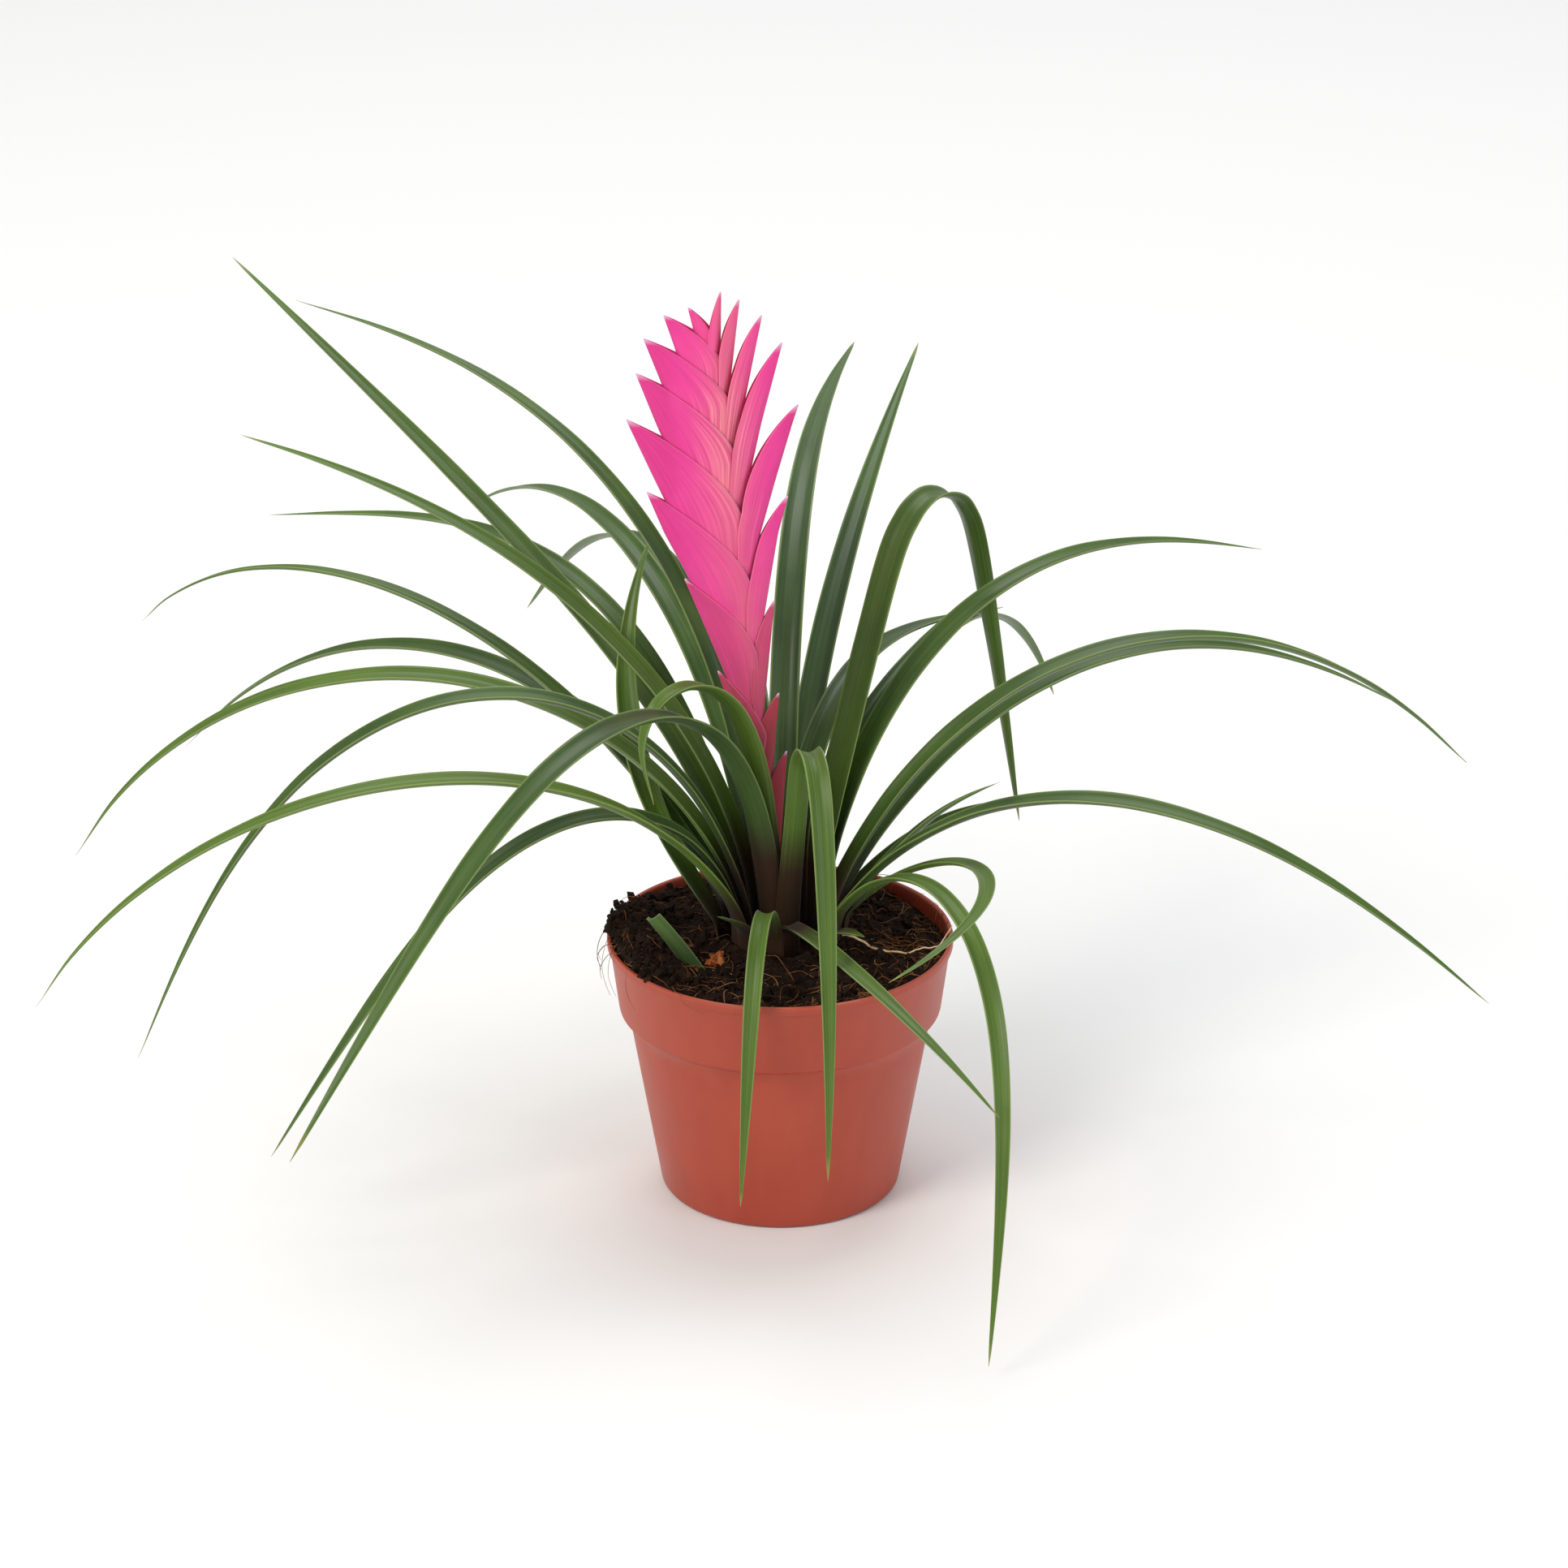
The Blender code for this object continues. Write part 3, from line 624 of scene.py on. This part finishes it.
print("bracts laid:", len(bracts))

# %% [markdown]
# ## The skin of the bracts
#
# A bract is a stiff coloured leaf with a satin face. Light enters it and comes back warmer, so it gets some
# scattering under the surface. Its colour runs from salmon where it leaves the middle of the spike to hot
# pink at the keel, with fine veins that meet at the point, a pale margin and a whitish tip. The lowest ones
# turn a dull red.

# %% Bract material
bract_skin, tree, shader = new_material(
    "pink_bract_skin",
    IOR=1.4,
    Subsurface_Weight=0.12,
    Subsurface_Scale=0.001,
    Sheen_Weight=0.08,
)
shader.inputs["Subsurface Radius"].default_value = (1.0, 0.35, 0.45)
along, to_keel, up_spike, off_axis, height = marked(
    tree, "along", "to_keel", "up_spike", "off_axis", "height"
)
# veins 0.6 mm apart at the widest, drawn along the whole bract
BRACT_VEINS = (26.0, 1.6, 40.0)
vein_place = add(tree, "ShaderNodeCombineXYZ", {"X": to_keel, "Y": along, "Z": up_spike})
veins = mottle(tree, multiply(tree, vein_place.outputs[0], BRACT_VEINS), 1.0, 3.0)
clouds = mottle(tree, own_place(tree), 120.0, 2.0)
# salmon in the middle of the spike, hot pink further out and magenta at the edges
wander = calc(tree, "MULTIPLY_ADD", veins, 0.3, off_axis)
cloudy = calc(tree, "MULTIPLY_ADD", clouds, 0.35, wander)
across_colour = ramp(
    tree, cloudy, [(0.33, "#ea5f8c"), (1.0, "#dc3189"), (0.55, "#ea4a91"), (0.85, "#e63a93")]
)
# cream streaks run up the middle of the upper half
near_middle = spread(tree, off_axis, 0.06, 0.42, 1.0, 0.0)
upper_half = spread(tree, height, 0.3, 0.7, 0.0, 1.0)
cream_noise = spread(tree, veins, 0.42, 0.72, 0.0, 0.62)
below_top = spread(tree, height, 0.72, 0.9, 1.0, 0.15)
cream_height = calc(tree, "MULTIPLY", below_top, upper_half)
cream_place = calc(tree, "MULTIPLY", near_middle, cream_height)
cream_share = calc(tree, "MULTIPLY", cream_place, cream_noise)
creamy = laid_over(tree, cream_share, across_colour, "#f3b49c")
low_share = spread(tree, up_spike, 0.12, 0.36, 1.0, 0.0)
reddened = laid_over(tree, low_share, creamy, "#ad3a48")
streaked = multiply(tree, reddened, spread(tree, veins, 0.3, 0.7, 0.86, 1.1))
margin = spread(tree, to_keel, 0.0, 0.03, 0.3, 0.0)
edged = laid_over(tree, margin, streaked, "#f5a3b8")
point = spread(tree, along, 0.93, 0.985, 0.0, 0.85)
tipped = laid_over(tree, point, edged, "#dcb4cf")
tree.links.new(tipped, shader.inputs["Base Color"])
tree.links.new(spread(tree, clouds, 0.3, 0.7, 0.4, 0.55), shader.inputs["Roughness"])
tree.links.new(relief(tree, veins, 0.3, 0.1 * MM), shader.inputs["Normal"])
paint(bracts, bract_skin)
print("bract skin nodes:", len(tree.nodes))

# %% [markdown]
# ## The stalk
#
# The stalk is a thin tapered rod, red brown and a little rough, almost hidden by the bracts that clasp it.
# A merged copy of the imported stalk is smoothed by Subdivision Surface.

# %% Stalk
stalk = bpy.data.objects.new("stalk", frame["nodes"]["flower_stem"].data.copy())
bpy.context.scene.collection.objects.link(stalk)
select_only(stalk)
bpy.ops.object.mode_set(mode="EDIT")
bpy.ops.mesh.select_all(action="SELECT")
bpy.ops.mesh.remove_doubles(threshold=0.002 * MM)
bpy.ops.mesh.normals_make_consistent(inside=False)
bpy.ops.object.mode_set(mode="OBJECT")
rounding = stalk.modifiers.new("rounding", "SUBSURF")
rounding.levels = 2
rounding.render_levels = 2
bpy.ops.object.modifier_apply(modifier="rounding")
bpy.ops.object.shade_smooth()
stalk_skin, tree, shader = new_material("flower_stalk_skin", Roughness=0.55, IOR=1.4, Subsurface_Weight=0.05)
fine_spots = mottle(tree, own_place(tree), 900.0, 4.0)
stalk_tone = ramp(tree, fine_spots, [(0.3, "#561c1a"), (0.7, "#7c3328")])
tree.links.new(stalk_tone, shader.inputs["Base Color"])
paint([stalk], stalk_skin)
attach(stalk, "root")
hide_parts("flower_stem")
print("stalk faces:", len(stalk.data.polygons))

# %% [markdown]
# ## The pot
#
# A nursery pot is one thin wall of moulded plastic. It is raised here the way it would be turned: a small
# ring at the middle of the inside floor is extruded and resized again and again, out over the floor, up the
# inside, over the rim, down the outside past the lip, the collar and its step, and in under the base, where
# eight drain holes are drilled through the raised ring of the floor.

# %% Raise the pot ring by ring
POT_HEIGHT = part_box("pot")[1].z / MM
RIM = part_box("pot")[1].x / MM
POT_RINGS = [
    (11.5, 0.8), (12.3, 2.3), (23.7, 2.3), (24.5, 0.8), (RIM - 14.9, 0.8), (RIM - 14.2, 2.2),
    (RIM - 6.9, 45.2), (RIM - 6.7, 47.0), (RIM - 6.1, 48.5), (RIM - 4.6, 50.3), (RIM - 4.0, 51.0),
    (RIM - 1.4, 67.6), (RIM - 1.3, 69.4), (RIM - 1.15, 69.8), (RIM - 0.8, POT_HEIGHT),
    (RIM - 0.45, POT_HEIGHT), (RIM - 0.12, 69.85), (RIM, 69.5), (RIM, 68.1), (RIM - 0.12, 67.8),
    (RIM - 0.6, 67.6), (RIM - 0.8, 67.2), (RIM - 2.9, 50.9), (RIM - 3.05, 50.35), (RIM - 3.5, 50.05),
    (RIM - 4.6, 49.1), (RIM - 5.4, 47.8), (RIM - 5.95, 46.0), (RIM - 6.1, 44.6), (RIM - 13.4, 1.5),
    (RIM - 13.6, 0.7), (RIM - 14.0, 0.15), (RIM - 14.5, 0.0), (24.0, 0.0), (23.2, 1.5), (12.8, 1.5),
    (12.0, 0.0), (3.0, 0.0),
]
POT_SIDES = 160
DRAIN_HOLES = 8
DRAIN_RADIUS = 2.5 * MM
DRAIN_CIRCLE = 18 * MM
DRILL_DEPTH = 6 * MM
bpy.ops.object.select_all(action="DESELECT")
radius, height = 3.0, 0.8
bpy.ops.mesh.primitive_circle_add(
    vertices=POT_SIDES, radius=radius * MM, fill_type="NGON", location=(0, 0, height * MM)
)
bpy.ops.object.transform_apply(location=True, rotation=True, scale=True)
pot = bpy.context.active_object
pot.name = "nursery_pot"
bpy.ops.object.mode_set(mode="EDIT")
bpy.ops.mesh.select_mode(type="EDGE")
bpy.ops.mesh.select_all(action="SELECT")
bpy.ops.mesh.poke()
bpy.ops.mesh.select_all(action="DESELECT")
bpy.ops.mesh.select_non_manifold()
for next_radius, next_height in POT_RINGS:
    bpy.ops.mesh.extrude_region_move(TRANSFORM_OT_translate={"value": (0, 0, (next_height - height) * MM)})
    grow = next_radius / radius
    bpy.ops.transform.resize(value=(grow, grow, 1), center_override=(0, 0, next_height * MM))
    radius, height = next_radius, next_height
bpy.ops.mesh.edge_face_add()
bpy.ops.mesh.poke()
bpy.ops.mesh.select_all(action="SELECT")
bpy.ops.mesh.normals_make_consistent(inside=False)
bpy.ops.object.mode_set(mode="OBJECT")
for i in range(DRAIN_HOLES):
    angle = math.radians((i + 0.5) * 360 / DRAIN_HOLES)
    bpy.ops.object.select_all(action="DESELECT")
    bpy.ops.mesh.primitive_cylinder_add(
        vertices=32,
        radius=DRAIN_RADIUS,
        depth=DRILL_DEPTH,
        location=(DRAIN_CIRCLE * math.cos(angle), DRAIN_CIRCLE * math.sin(angle), 1.5 * MM),
    )
    drill = bpy.context.active_object
    hole = pot.modifiers.new("drain", "BOOLEAN")
    hole.operation = "DIFFERENCE"
    hole.solver = "EXACT"
    hole.object = drill
    select_only(pot)
    bpy.ops.object.modifier_apply(modifier="drain")
    bpy.data.objects.remove(drill)
bpy.ops.object.shade_smooth_by_angle(angle=math.radians(40))
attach(pot, "root")
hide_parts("pot")
print("pot faces:", len(pot.data.polygons))

# %% [markdown]
# ## The plastic of the pot
#
# Injection moulded polypropylene is satin, evenly coloured and very slightly cloudy under its skin. Its
# finish is broken by a fine moulding grain, faint upright flow lines, a few rubbed places and, as the pot
# has been potted and watered, some dried peat dust near the rim and in the step under the collar, where the
# denser specks are also painted shade. The top edge of the rim is painted lighter as a painted highlight.

# %% Pot material
pot_plastic, tree, shader = new_material(
    "moulded_terracotta_plastic", IOR=1.45, Subsurface_Weight=0.03, Subsurface_Scale=0.0015
)
shader.inputs["Subsurface Radius"].default_value = (1.0, 0.4, 0.2)
where = own_place(tree)
above_base = add(tree, "ShaderNodeSeparateXYZ", {"Vector": where}).outputs["Z"]
clouds = mottle(tree, where, 45.0, 3.0)
flow = mottle(tree, multiply(tree, where, (1.0, 1.0, 0.08)), 260.0, 2.0)
mixed = calc(tree, "MULTIPLY_ADD", flow, 0.3, clouds)
plastic_tone = ramp(tree, mixed, [(0.35, "#a23b26"), (0.95, "#b24a33"), (0.62, "#ab422c")])
# painted highlight: the top edge of the rim is painted lighter, where the thin rim catches the light
rim_painted_highlight = spread(tree, above_base, 0.0688, 0.0700, 0.0, 0.35)
rim_highlighted_tone = laid_over(tree, rim_painted_highlight, plastic_tone, "#c4644a")
# dried peat: small dark specks, thicker towards the rim and in the step 47 to 51 mm up, where the extra
# specks under the collar are painted shade in the undercut
specks = mottle(tree, where, 1100.0, 5.0, 0.7)
dust_patches = mottle(tree, where, 90.0, 4.0)
step_depth = spread(tree, above_base, 0.0475, 0.0495, 0.0, 0.07)
under_collar = spread(tree, above_base, 0.0500, 0.0515, 1.0, 0.0)
# painted shade: more dark specks in the undercut step under the collar
step_dust_and_painted_shade = calc(tree, "MULTIPLY", step_depth, under_collar)
rim_dust = spread(tree, above_base, 0.052, 0.0705, 0.0, 0.055)
speck_sum = calc(tree, "ADD", specks, rim_dust)
speck_more = calc(tree, "ADD", speck_sum, step_dust_and_painted_shade)
patchy = calc(tree, "MULTIPLY_ADD", dust_patches, 0.22, speck_more)
# peat dust specks over the plastic, with painted shade in the step under the collar
dust_and_step_shade = spread(tree, patchy, 0.80, 0.90, 0.0, 0.75)
dusted_and_step_shaded = laid_over(tree, dust_and_step_shade, rim_highlighted_tone, "#4a2c20")
tree.links.new(dusted_and_step_shaded, shader.inputs["Base Color"])
rubbed = spread(tree, clouds, 0.35, 0.7, 0.36, 0.5)
tree.links.new(calc(tree, "MULTIPLY_ADD", dust_and_step_shade, 0.5, rubbed), shader.inputs["Roughness"])
grain = relief(tree, mottle(tree, where, 2600.0, 2.0), 0.12, 0.05 * MM)
tree.links.new(relief(tree, flow, 0.15, 0.1 * MM, Normal=grain), shader.inputs["Normal"])
paint([pot], pot_plastic)
print("pot material nodes:", len(tree.nodes))

# %% [markdown]
# ## The soil
#
# Peat for small pots is a loose mix: crumbs of a millimetre or two, lumps of five to ten, bits of bark and
# many fine fibres. Its top is a grid pulled into a disc and pushed up and down at those three sizes. It
# stands highest round the crown and at the left, where the plug was pressed in and some of it stands over
# the rim. The edge of the disc is extruded down inside the pot, so the soil stays one closed solid.

# %% Soil body
SOIL_RADIUS = RIM - 1.75
SOIL_LEVEL = 68.0
SOIL_CELLS = 190
MOUND_TURN = math.radians(186)
SOIL_SIDES = ((SOIL_RADIUS - 0.3, 65.5), (RIM - 4.6, 51.0), (RIM - 7.2, 47.0), (RIM - 14.6, 2.6))


def soil_height(x, y):
    """How high the top of the soil is at a place, all in mm."""
    reach = math.hypot(x, y)
    turn = math.atan2(y, x)
    crown = 2.4 * smooth((32 - reach) / 18) - 5.5 * smooth((15 - reach) / 5)
    away = abs((turn - MOUND_TURN + math.pi) % (2 * math.pi) - math.pi)
    mound = 5.6 * smooth(1.25 - away / 0.75) * smooth((reach - 24) / 12)
    dip = -1.6 * smooth(1.2 - abs(turn - 0.35) / 0.6) * smooth((reach - 20) / 8)
    spot = Vector((x, y, 0))
    lumps = 1.5 * noise.noise(spot / 7.0) + 0.9 * noise.noise(spot / 3.1 + Vector((9, 3, 1)))
    crumble = 0.55 * noise.noise(spot / 1.3 + Vector((4, 1, 7))) + 0.3 * noise.noise(spot / 0.6)
    edge = smooth((SOIL_RADIUS - reach) / 3)
    return SOIL_LEVEL + crown + mound + dip + (lumps + crumble) * (0.35 + 0.65 * edge) - 0.5 * (1 - edge)


bpy.ops.object.select_all(action="DESELECT")
bpy.ops.mesh.primitive_grid_add(x_subdivisions=SOIL_CELLS, y_subdivisions=SOIL_CELLS, size=2)
soil = bpy.context.active_object
soil.name = "peat_soil"
for vertex in soil.data.vertices:
    x = vertex.co.x * math.sqrt(1 - vertex.co.y**2 / 2) * SOIL_RADIUS
    y = vertex.co.y * math.sqrt(1 - vertex.co.x**2 / 2) * SOIL_RADIUS
    vertex.co = Vector((x, y, soil_height(x, y))) * MM
select_only(soil)
bpy.ops.object.mode_set(mode="EDIT")
bpy.ops.mesh.select_mode(type="EDGE")
bpy.ops.mesh.select_all(action="DESELECT")
bpy.ops.mesh.select_non_manifold()
radius = SOIL_RADIUS
for next_radius, height in SOIL_SIDES:
    bpy.ops.mesh.extrude_region_move()
    grow = next_radius / radius
    bpy.ops.transform.resize(value=(grow, grow, 0), center_override=(0, 0, height * MM))
    radius = next_radius
bpy.ops.mesh.edge_face_add()
bpy.ops.mesh.poke()
bpy.ops.mesh.select_all(action="SELECT")
bpy.ops.mesh.normals_make_consistent(inside=False)
bpy.ops.object.mode_set(mode="OBJECT")
bpy.ops.object.shade_smooth_by_angle(angle=math.radians(55))
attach(soil, "root")
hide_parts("soil")
print("soil faces:", len(soil.data.polygons))

# %% [markdown]
# ## Crumbs, bark and fibres
#
# Small rough pebbles of peat are copies of a few lumpy spheres, each with its own turn and size. They lie
# over the whole surface, and more of them lie at the left edge, where the soil stands over the rim. Fibres
# are thin curved tubes that lie on the soil, stick out of it or hang over the rim.

# %% Crumbs and bark
CRUMBS = 1500
LOOSE_CRUMBS = 260
CLODS = 150
ON_RIM = 70.3


def on_soil(turn, reach, lift=0.0):
    x, y = reach * math.cos(turn), reach * math.sin(turn)
    return Vector((x, y, soil_height(x, y) + lift)) * MM


def lumpy_sphere(name, finer, roughness, seed):
    bpy.ops.object.select_all(action="DESELECT")
    bpy.ops.mesh.primitive_ico_sphere_add(subdivisions=finer, radius=1.0)
    lump = bpy.context.active_object
    lump.name = name
    for vertex in lump.data.vertices:
        vertex.co *= 1 + roughness * noise.noise(vertex.co * 1.4 + Vector((seed * 5.3, 0, 0)))
    return lump


def scatter(name, patterns, places):
    """Copies of the patterns, one for each (place, size) pair, joined to one piece."""
    bpy.ops.object.select_all(action="DESELECT")
    copies = []
    for spot, size in places:
        crumb = copy_of(random.choice(patterns), name)
        crumb.location = spot
        crumb.rotation_euler = [random.uniform(0, 6.28) for _ in range(3)]
        crumb.scale = [size * MM * random.uniform(0.6, 1.3) for _ in range(3)]
        copies.append(crumb)
    for crumb in copies:
        crumb.select_set(True)
    bpy.context.view_layer.objects.active = copies[0]
    bpy.ops.object.join()
    bpy.ops.object.transform_apply(location=True, rotation=True, scale=True)
    return copies[0]


crumb_places = []
for _ in range(CRUMBS):
    turn = random.uniform(0, 2 * math.pi)
    reach = SOIL_RADIUS * math.sqrt(random.uniform(0.13, 0.985))
    crumb_places.append((on_soil(turn, reach, 0.1), 0.4 + 0.6 * random.random() ** 3))
for _ in range(LOOSE_CRUMBS):
    # loose crumbs on the mound at the left, some of them on the rim itself
    turn = MOUND_TURN + random.gauss(0, 0.33)
    reach = random.uniform(37, RIM - 0.2)
    lift = on_soil(turn, min(reach, SOIL_RADIUS), 0.3)
    spot = Vector((reach * math.cos(turn) * MM, reach * math.sin(turn) * MM, max(lift.z, ON_RIM * MM)))
    crumb_places.append((spot, 0.5 + 0.9 * random.random() ** 2))
clod_places = []
for _ in range(CLODS):
    turn = random.uniform(0, 2 * math.pi)
    reach = SOIL_RADIUS * math.sqrt(random.uniform(0.16, 0.93))
    clod_places.append((on_soil(turn, reach, 0.15), random.uniform(0.9, 1.9)))
crumb_patterns = [lumpy_sphere(f"crumb_pattern_{i}", 1, 0.9, i) for i in range(5)]
bark_patterns = [lumpy_sphere(f"bark_pattern_{i}", 2, 1.1, i + 9) for i in range(4)]
crumbs = scatter("peat_crumbs", crumb_patterns, crumb_places)
clods = scatter("peat_clods", bark_patterns, clod_places)
chip_places = [(on_soil(math.radians(227), 23.5, 0.9), 1.5), (on_soil(math.radians(224), 25.5, 0.8), 1.0)]
bark = scatter("bark_bits", bark_patterns[:1], chip_places)
for pattern in crumb_patterns + bark_patterns:
    bpy.data.objects.remove(pattern)
print("crumb faces:", len(crumbs.data.polygons), "clod faces:", len(clods.data.polygons))

# %% Fibres
FIBRES = 300
HANGING_FIBRES = 9
ROOT_POINTS = 26


def fibre_piece(name, strands):
    """Thin tubes along lists of points; each strand is (points, radius in mm)."""
    curve = bpy.data.curves.new(name, "CURVE")
    curve.dimensions = "3D"
    curve.bevel_depth = MM
    curve.bevel_resolution = 0
    curve.resolution_u = 4
    curve.use_fill_caps = True
    for points, thickness in strands:
        spline = curve.splines.new("NURBS")
        spline.points.add(len(points) - 1)
        spline.use_endpoint_u = True
        spline.order_u = 3
        for k, (spot, point) in enumerate(zip(points, spline.points)):
            point.co = (*spot, 1.0)
            point.radius = thickness * (1 - 0.55 * k / len(points))
    piece = bpy.data.objects.new(name, curve)
    bpy.context.scene.collection.objects.link(piece)
    select_only(piece)
    bpy.ops.object.convert(target="MESH")
    bpy.ops.object.shade_smooth()
    return piece


strands = []
for k in range(FIBRES):
    anywhere = random.uniform(0, 2 * math.pi)
    front = random.gauss(math.radians(255), 0.8)
    right = random.gauss(0.1, 0.5)
    turn = random.choice((anywhere, front, right))
    reach = SOIL_RADIUS * math.sqrt(random.uniform(0.2, 0.99))
    heading = random.uniform(0, 2 * math.pi)
    curl = random.uniform(-0.5, 0.5)
    steps = random.randint(4, 9)
    stride = random.uniform(0.8, 1.9)
    rise = random.uniform(0.0, 0.5) if k % 5 else random.uniform(0.4, 1.1)
    x, y = reach * math.cos(turn), reach * math.sin(turn)
    points = []
    for i in range(steps):
        arch = math.sin(math.pi * (i + 0.3) / steps) * rise * stride * 1.6
        if math.hypot(x, y) < RIM - 0.2:
            ground = soil_height(x, y) if math.hypot(x, y) < SOIL_RADIUS - 0.4 else 70.4
            points.append(Vector((x, y, max(ground, 66) + 0.15 + arch)) * MM)
        heading += curl + random.uniform(-0.35, 0.35)
        x += stride * math.cos(heading)
        y += stride * math.sin(heading)
    if len(points) > 3:
        strands.append((points, random.uniform(0.07, 0.15)))
for _ in range(HANGING_FIBRES):
    # fibres that hang over the rim at the left and touch the outside of the collar
    turn = MOUND_TURN + random.gauss(0.05, 0.28)
    lean = random.uniform(-0.12, 0.12)
    drop = random.uniform(3, 12)
    points = [on_soil(turn, 41, 0.6)]
    points.append(Vector((44.0 * math.cos(turn), 44.0 * math.sin(turn), 71.4)) * MM)
    points.append(Vector((46.0 * math.cos(turn + lean), 46.0 * math.sin(turn + lean), 71.0)) * MM)
    for t in (0.4, 0.75, 1.0):
        a = turn + lean * (1 + 2 * t)
        r = 46.6 + 1.2 * math.sin(3 * t)
        points.append(Vector((r * math.cos(a), r * math.sin(a), 70.5 - drop * t)) * MM)
    strands.append((points, random.uniform(0.08, 0.13)))
fibres = fibre_piece("coir_fibres", strands)

# one long pale root lies in waves on the soil right of the crown
root_points = []
for i in range(ROOT_POINTS):
    t = i / (ROOT_POINTS - 1)
    x = 16 + 25 * t
    y = -9.5 + 1.5 * t + 2.6 * math.sin(8.5 * t) * (1 - 0.6 * t) + 3.5 * smooth((0.14 - t) / 0.14)
    root_points.append(Vector((x, y, soil_height(x, y) + 1.3 + 0.5 * math.sin(14 * t))) * MM)
end = root_points[-1]
for t in (0.35, 0.7, 1.0):
    root_points.append(end + Vector((3.6 * t, 5.0 * t, 3.6 * t)) * MM)
root = fibre_piece("pale_root", [(root_points, 0.42), (root_points[17:], 0.25)])
print("fibre faces:", len(fibres.data.polygons))

# %% [markdown]
# ## A cut leaf
#
# One outer leaf was cut off short when the plant was groomed. Its stump is a short channelled strip with a
# pale flat cut, leaning to the left of the crown.

# %% Stump of a cut leaf
STUMP_ACROSS = 8
STUMP_ALONG = 14
STUMP_LENGTH = 19
STUMP_THICK = 0.9 * MM
stump = grid_sheet("cut_leaf", STUMP_ACROSS, STUMP_ALONG)
stump_foot = on_soil(math.radians(222), 29, -2.5)
stump_lean = Vector((-0.5, -0.05, 0.86)).normalized()
stump_side = Vector((0.8, -0.35, 0.45)).normalized()
stump_up = stump_lean.cross(stump_side).normalized()
for i in range(STUMP_ALONG + 1):
    t = i / STUMP_ALONG
    centre = stump_foot + stump_lean * STUMP_LENGTH * MM * t + Vector((-1.6, 0, 0)) * MM * t * t
    for j in range(STUMP_ACROSS + 1):
        w = 2 * j / STUMP_ACROSS - 1
        spot = centre + stump_side * (2.4 - 0.5 * t) * w * MM + stump_up * (1.5 * w * w) * MM
        stump.data.vertices[i * (STUMP_ACROSS + 1) + j].co = spot
count = len(stump.data.vertices)
attribute(stump, "from_crown", np.repeat(np.linspace(22, 40, STUMP_ALONG + 1) * MM, STUMP_ACROSS + 1))
attribute(stump, "along", np.repeat(np.linspace(0.3, 0.97, STUMP_ALONG + 1), STUMP_ACROSS + 1))
attribute(stump, "across", np.tile(np.linspace(-1, 1, STUMP_ACROSS + 1), STUMP_ALONG + 1))
attribute(stump, "tone", np.full(count, -0.6))
attribute(stump, "seed", np.full(count, 0.83))
attribute(stump, "sheath", np.zeros(count))
solid = stump.modifiers.new("thickness", "SOLIDIFY")
solid.thickness = STUMP_THICK
solid.offset = 0
select_only(stump)
bpy.ops.object.modifier_apply(modifier="thickness")
bpy.ops.object.shade_smooth_by_angle(angle=math.radians(50))
paint([stump], leaf_skin)
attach(stump, "root")
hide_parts("soil")
print("stump faces:", len(stump.data.polygons))

# %% [markdown]
# ## Peat, bark and fibre materials
#
# Wet peat is almost black with warm brown crumbs, and it has hardly any shine. Bark is a warmer, lighter
# brown. Coir and dead roots run from straw to rust, and each fibre varies along its length.

# %% Soil materials


def earth(name, codes, scale, roughness, pieces):
    """A crumbly brown material in three tones, given to the pieces that lie in the pot."""
    made, tree, shader = new_material(name, IOR=1.35, Specular_IOR_Level=0.25)
    where = own_place(tree)
    coarse = mottle(tree, where, scale, 6.0, 0.65)
    tone = ramp(tree, coarse, [(0.33, codes[0]), (0.72, codes[2]), (0.52, codes[1])])
    tree.links.new(tone, shader.inputs["Base Color"])
    rough = spread(tree, coarse, 0.0, 1.0, roughness - 0.12, roughness + 0.05)
    tree.links.new(rough, shader.inputs["Roughness"])
    fine = mottle(tree, where, scale * 5, 4.0)
    tree.links.new(relief(tree, fine, 0.7, 0.25 * MM), shader.inputs["Normal"])
    paint(pieces, made)
    for piece in pieces:
        if "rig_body" not in piece:
            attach(piece, "root")
            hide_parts("soil")


earth("damp_dark_peat", ("#150d09", "#24160f", "#3a2518"), 420.0, 0.9, [soil, crumbs, clods])
earth("bark_chips", ("#7a3c1e", "#a8592c", "#c98850"), 500.0, 0.8, [bark])
earth("coir_and_dead_roots", ("#4f2c18", "#8a5732", "#c0925f"), 160.0, 0.75, [fibres])
earth("pale_root_skin", ("#c39c70", "#e6cba0", "#f3e3c4"), 300.0, 0.65, [root])
print("soil pieces:", [piece.name for piece in (soil, crumbs, clods, bark, fibres, root)])
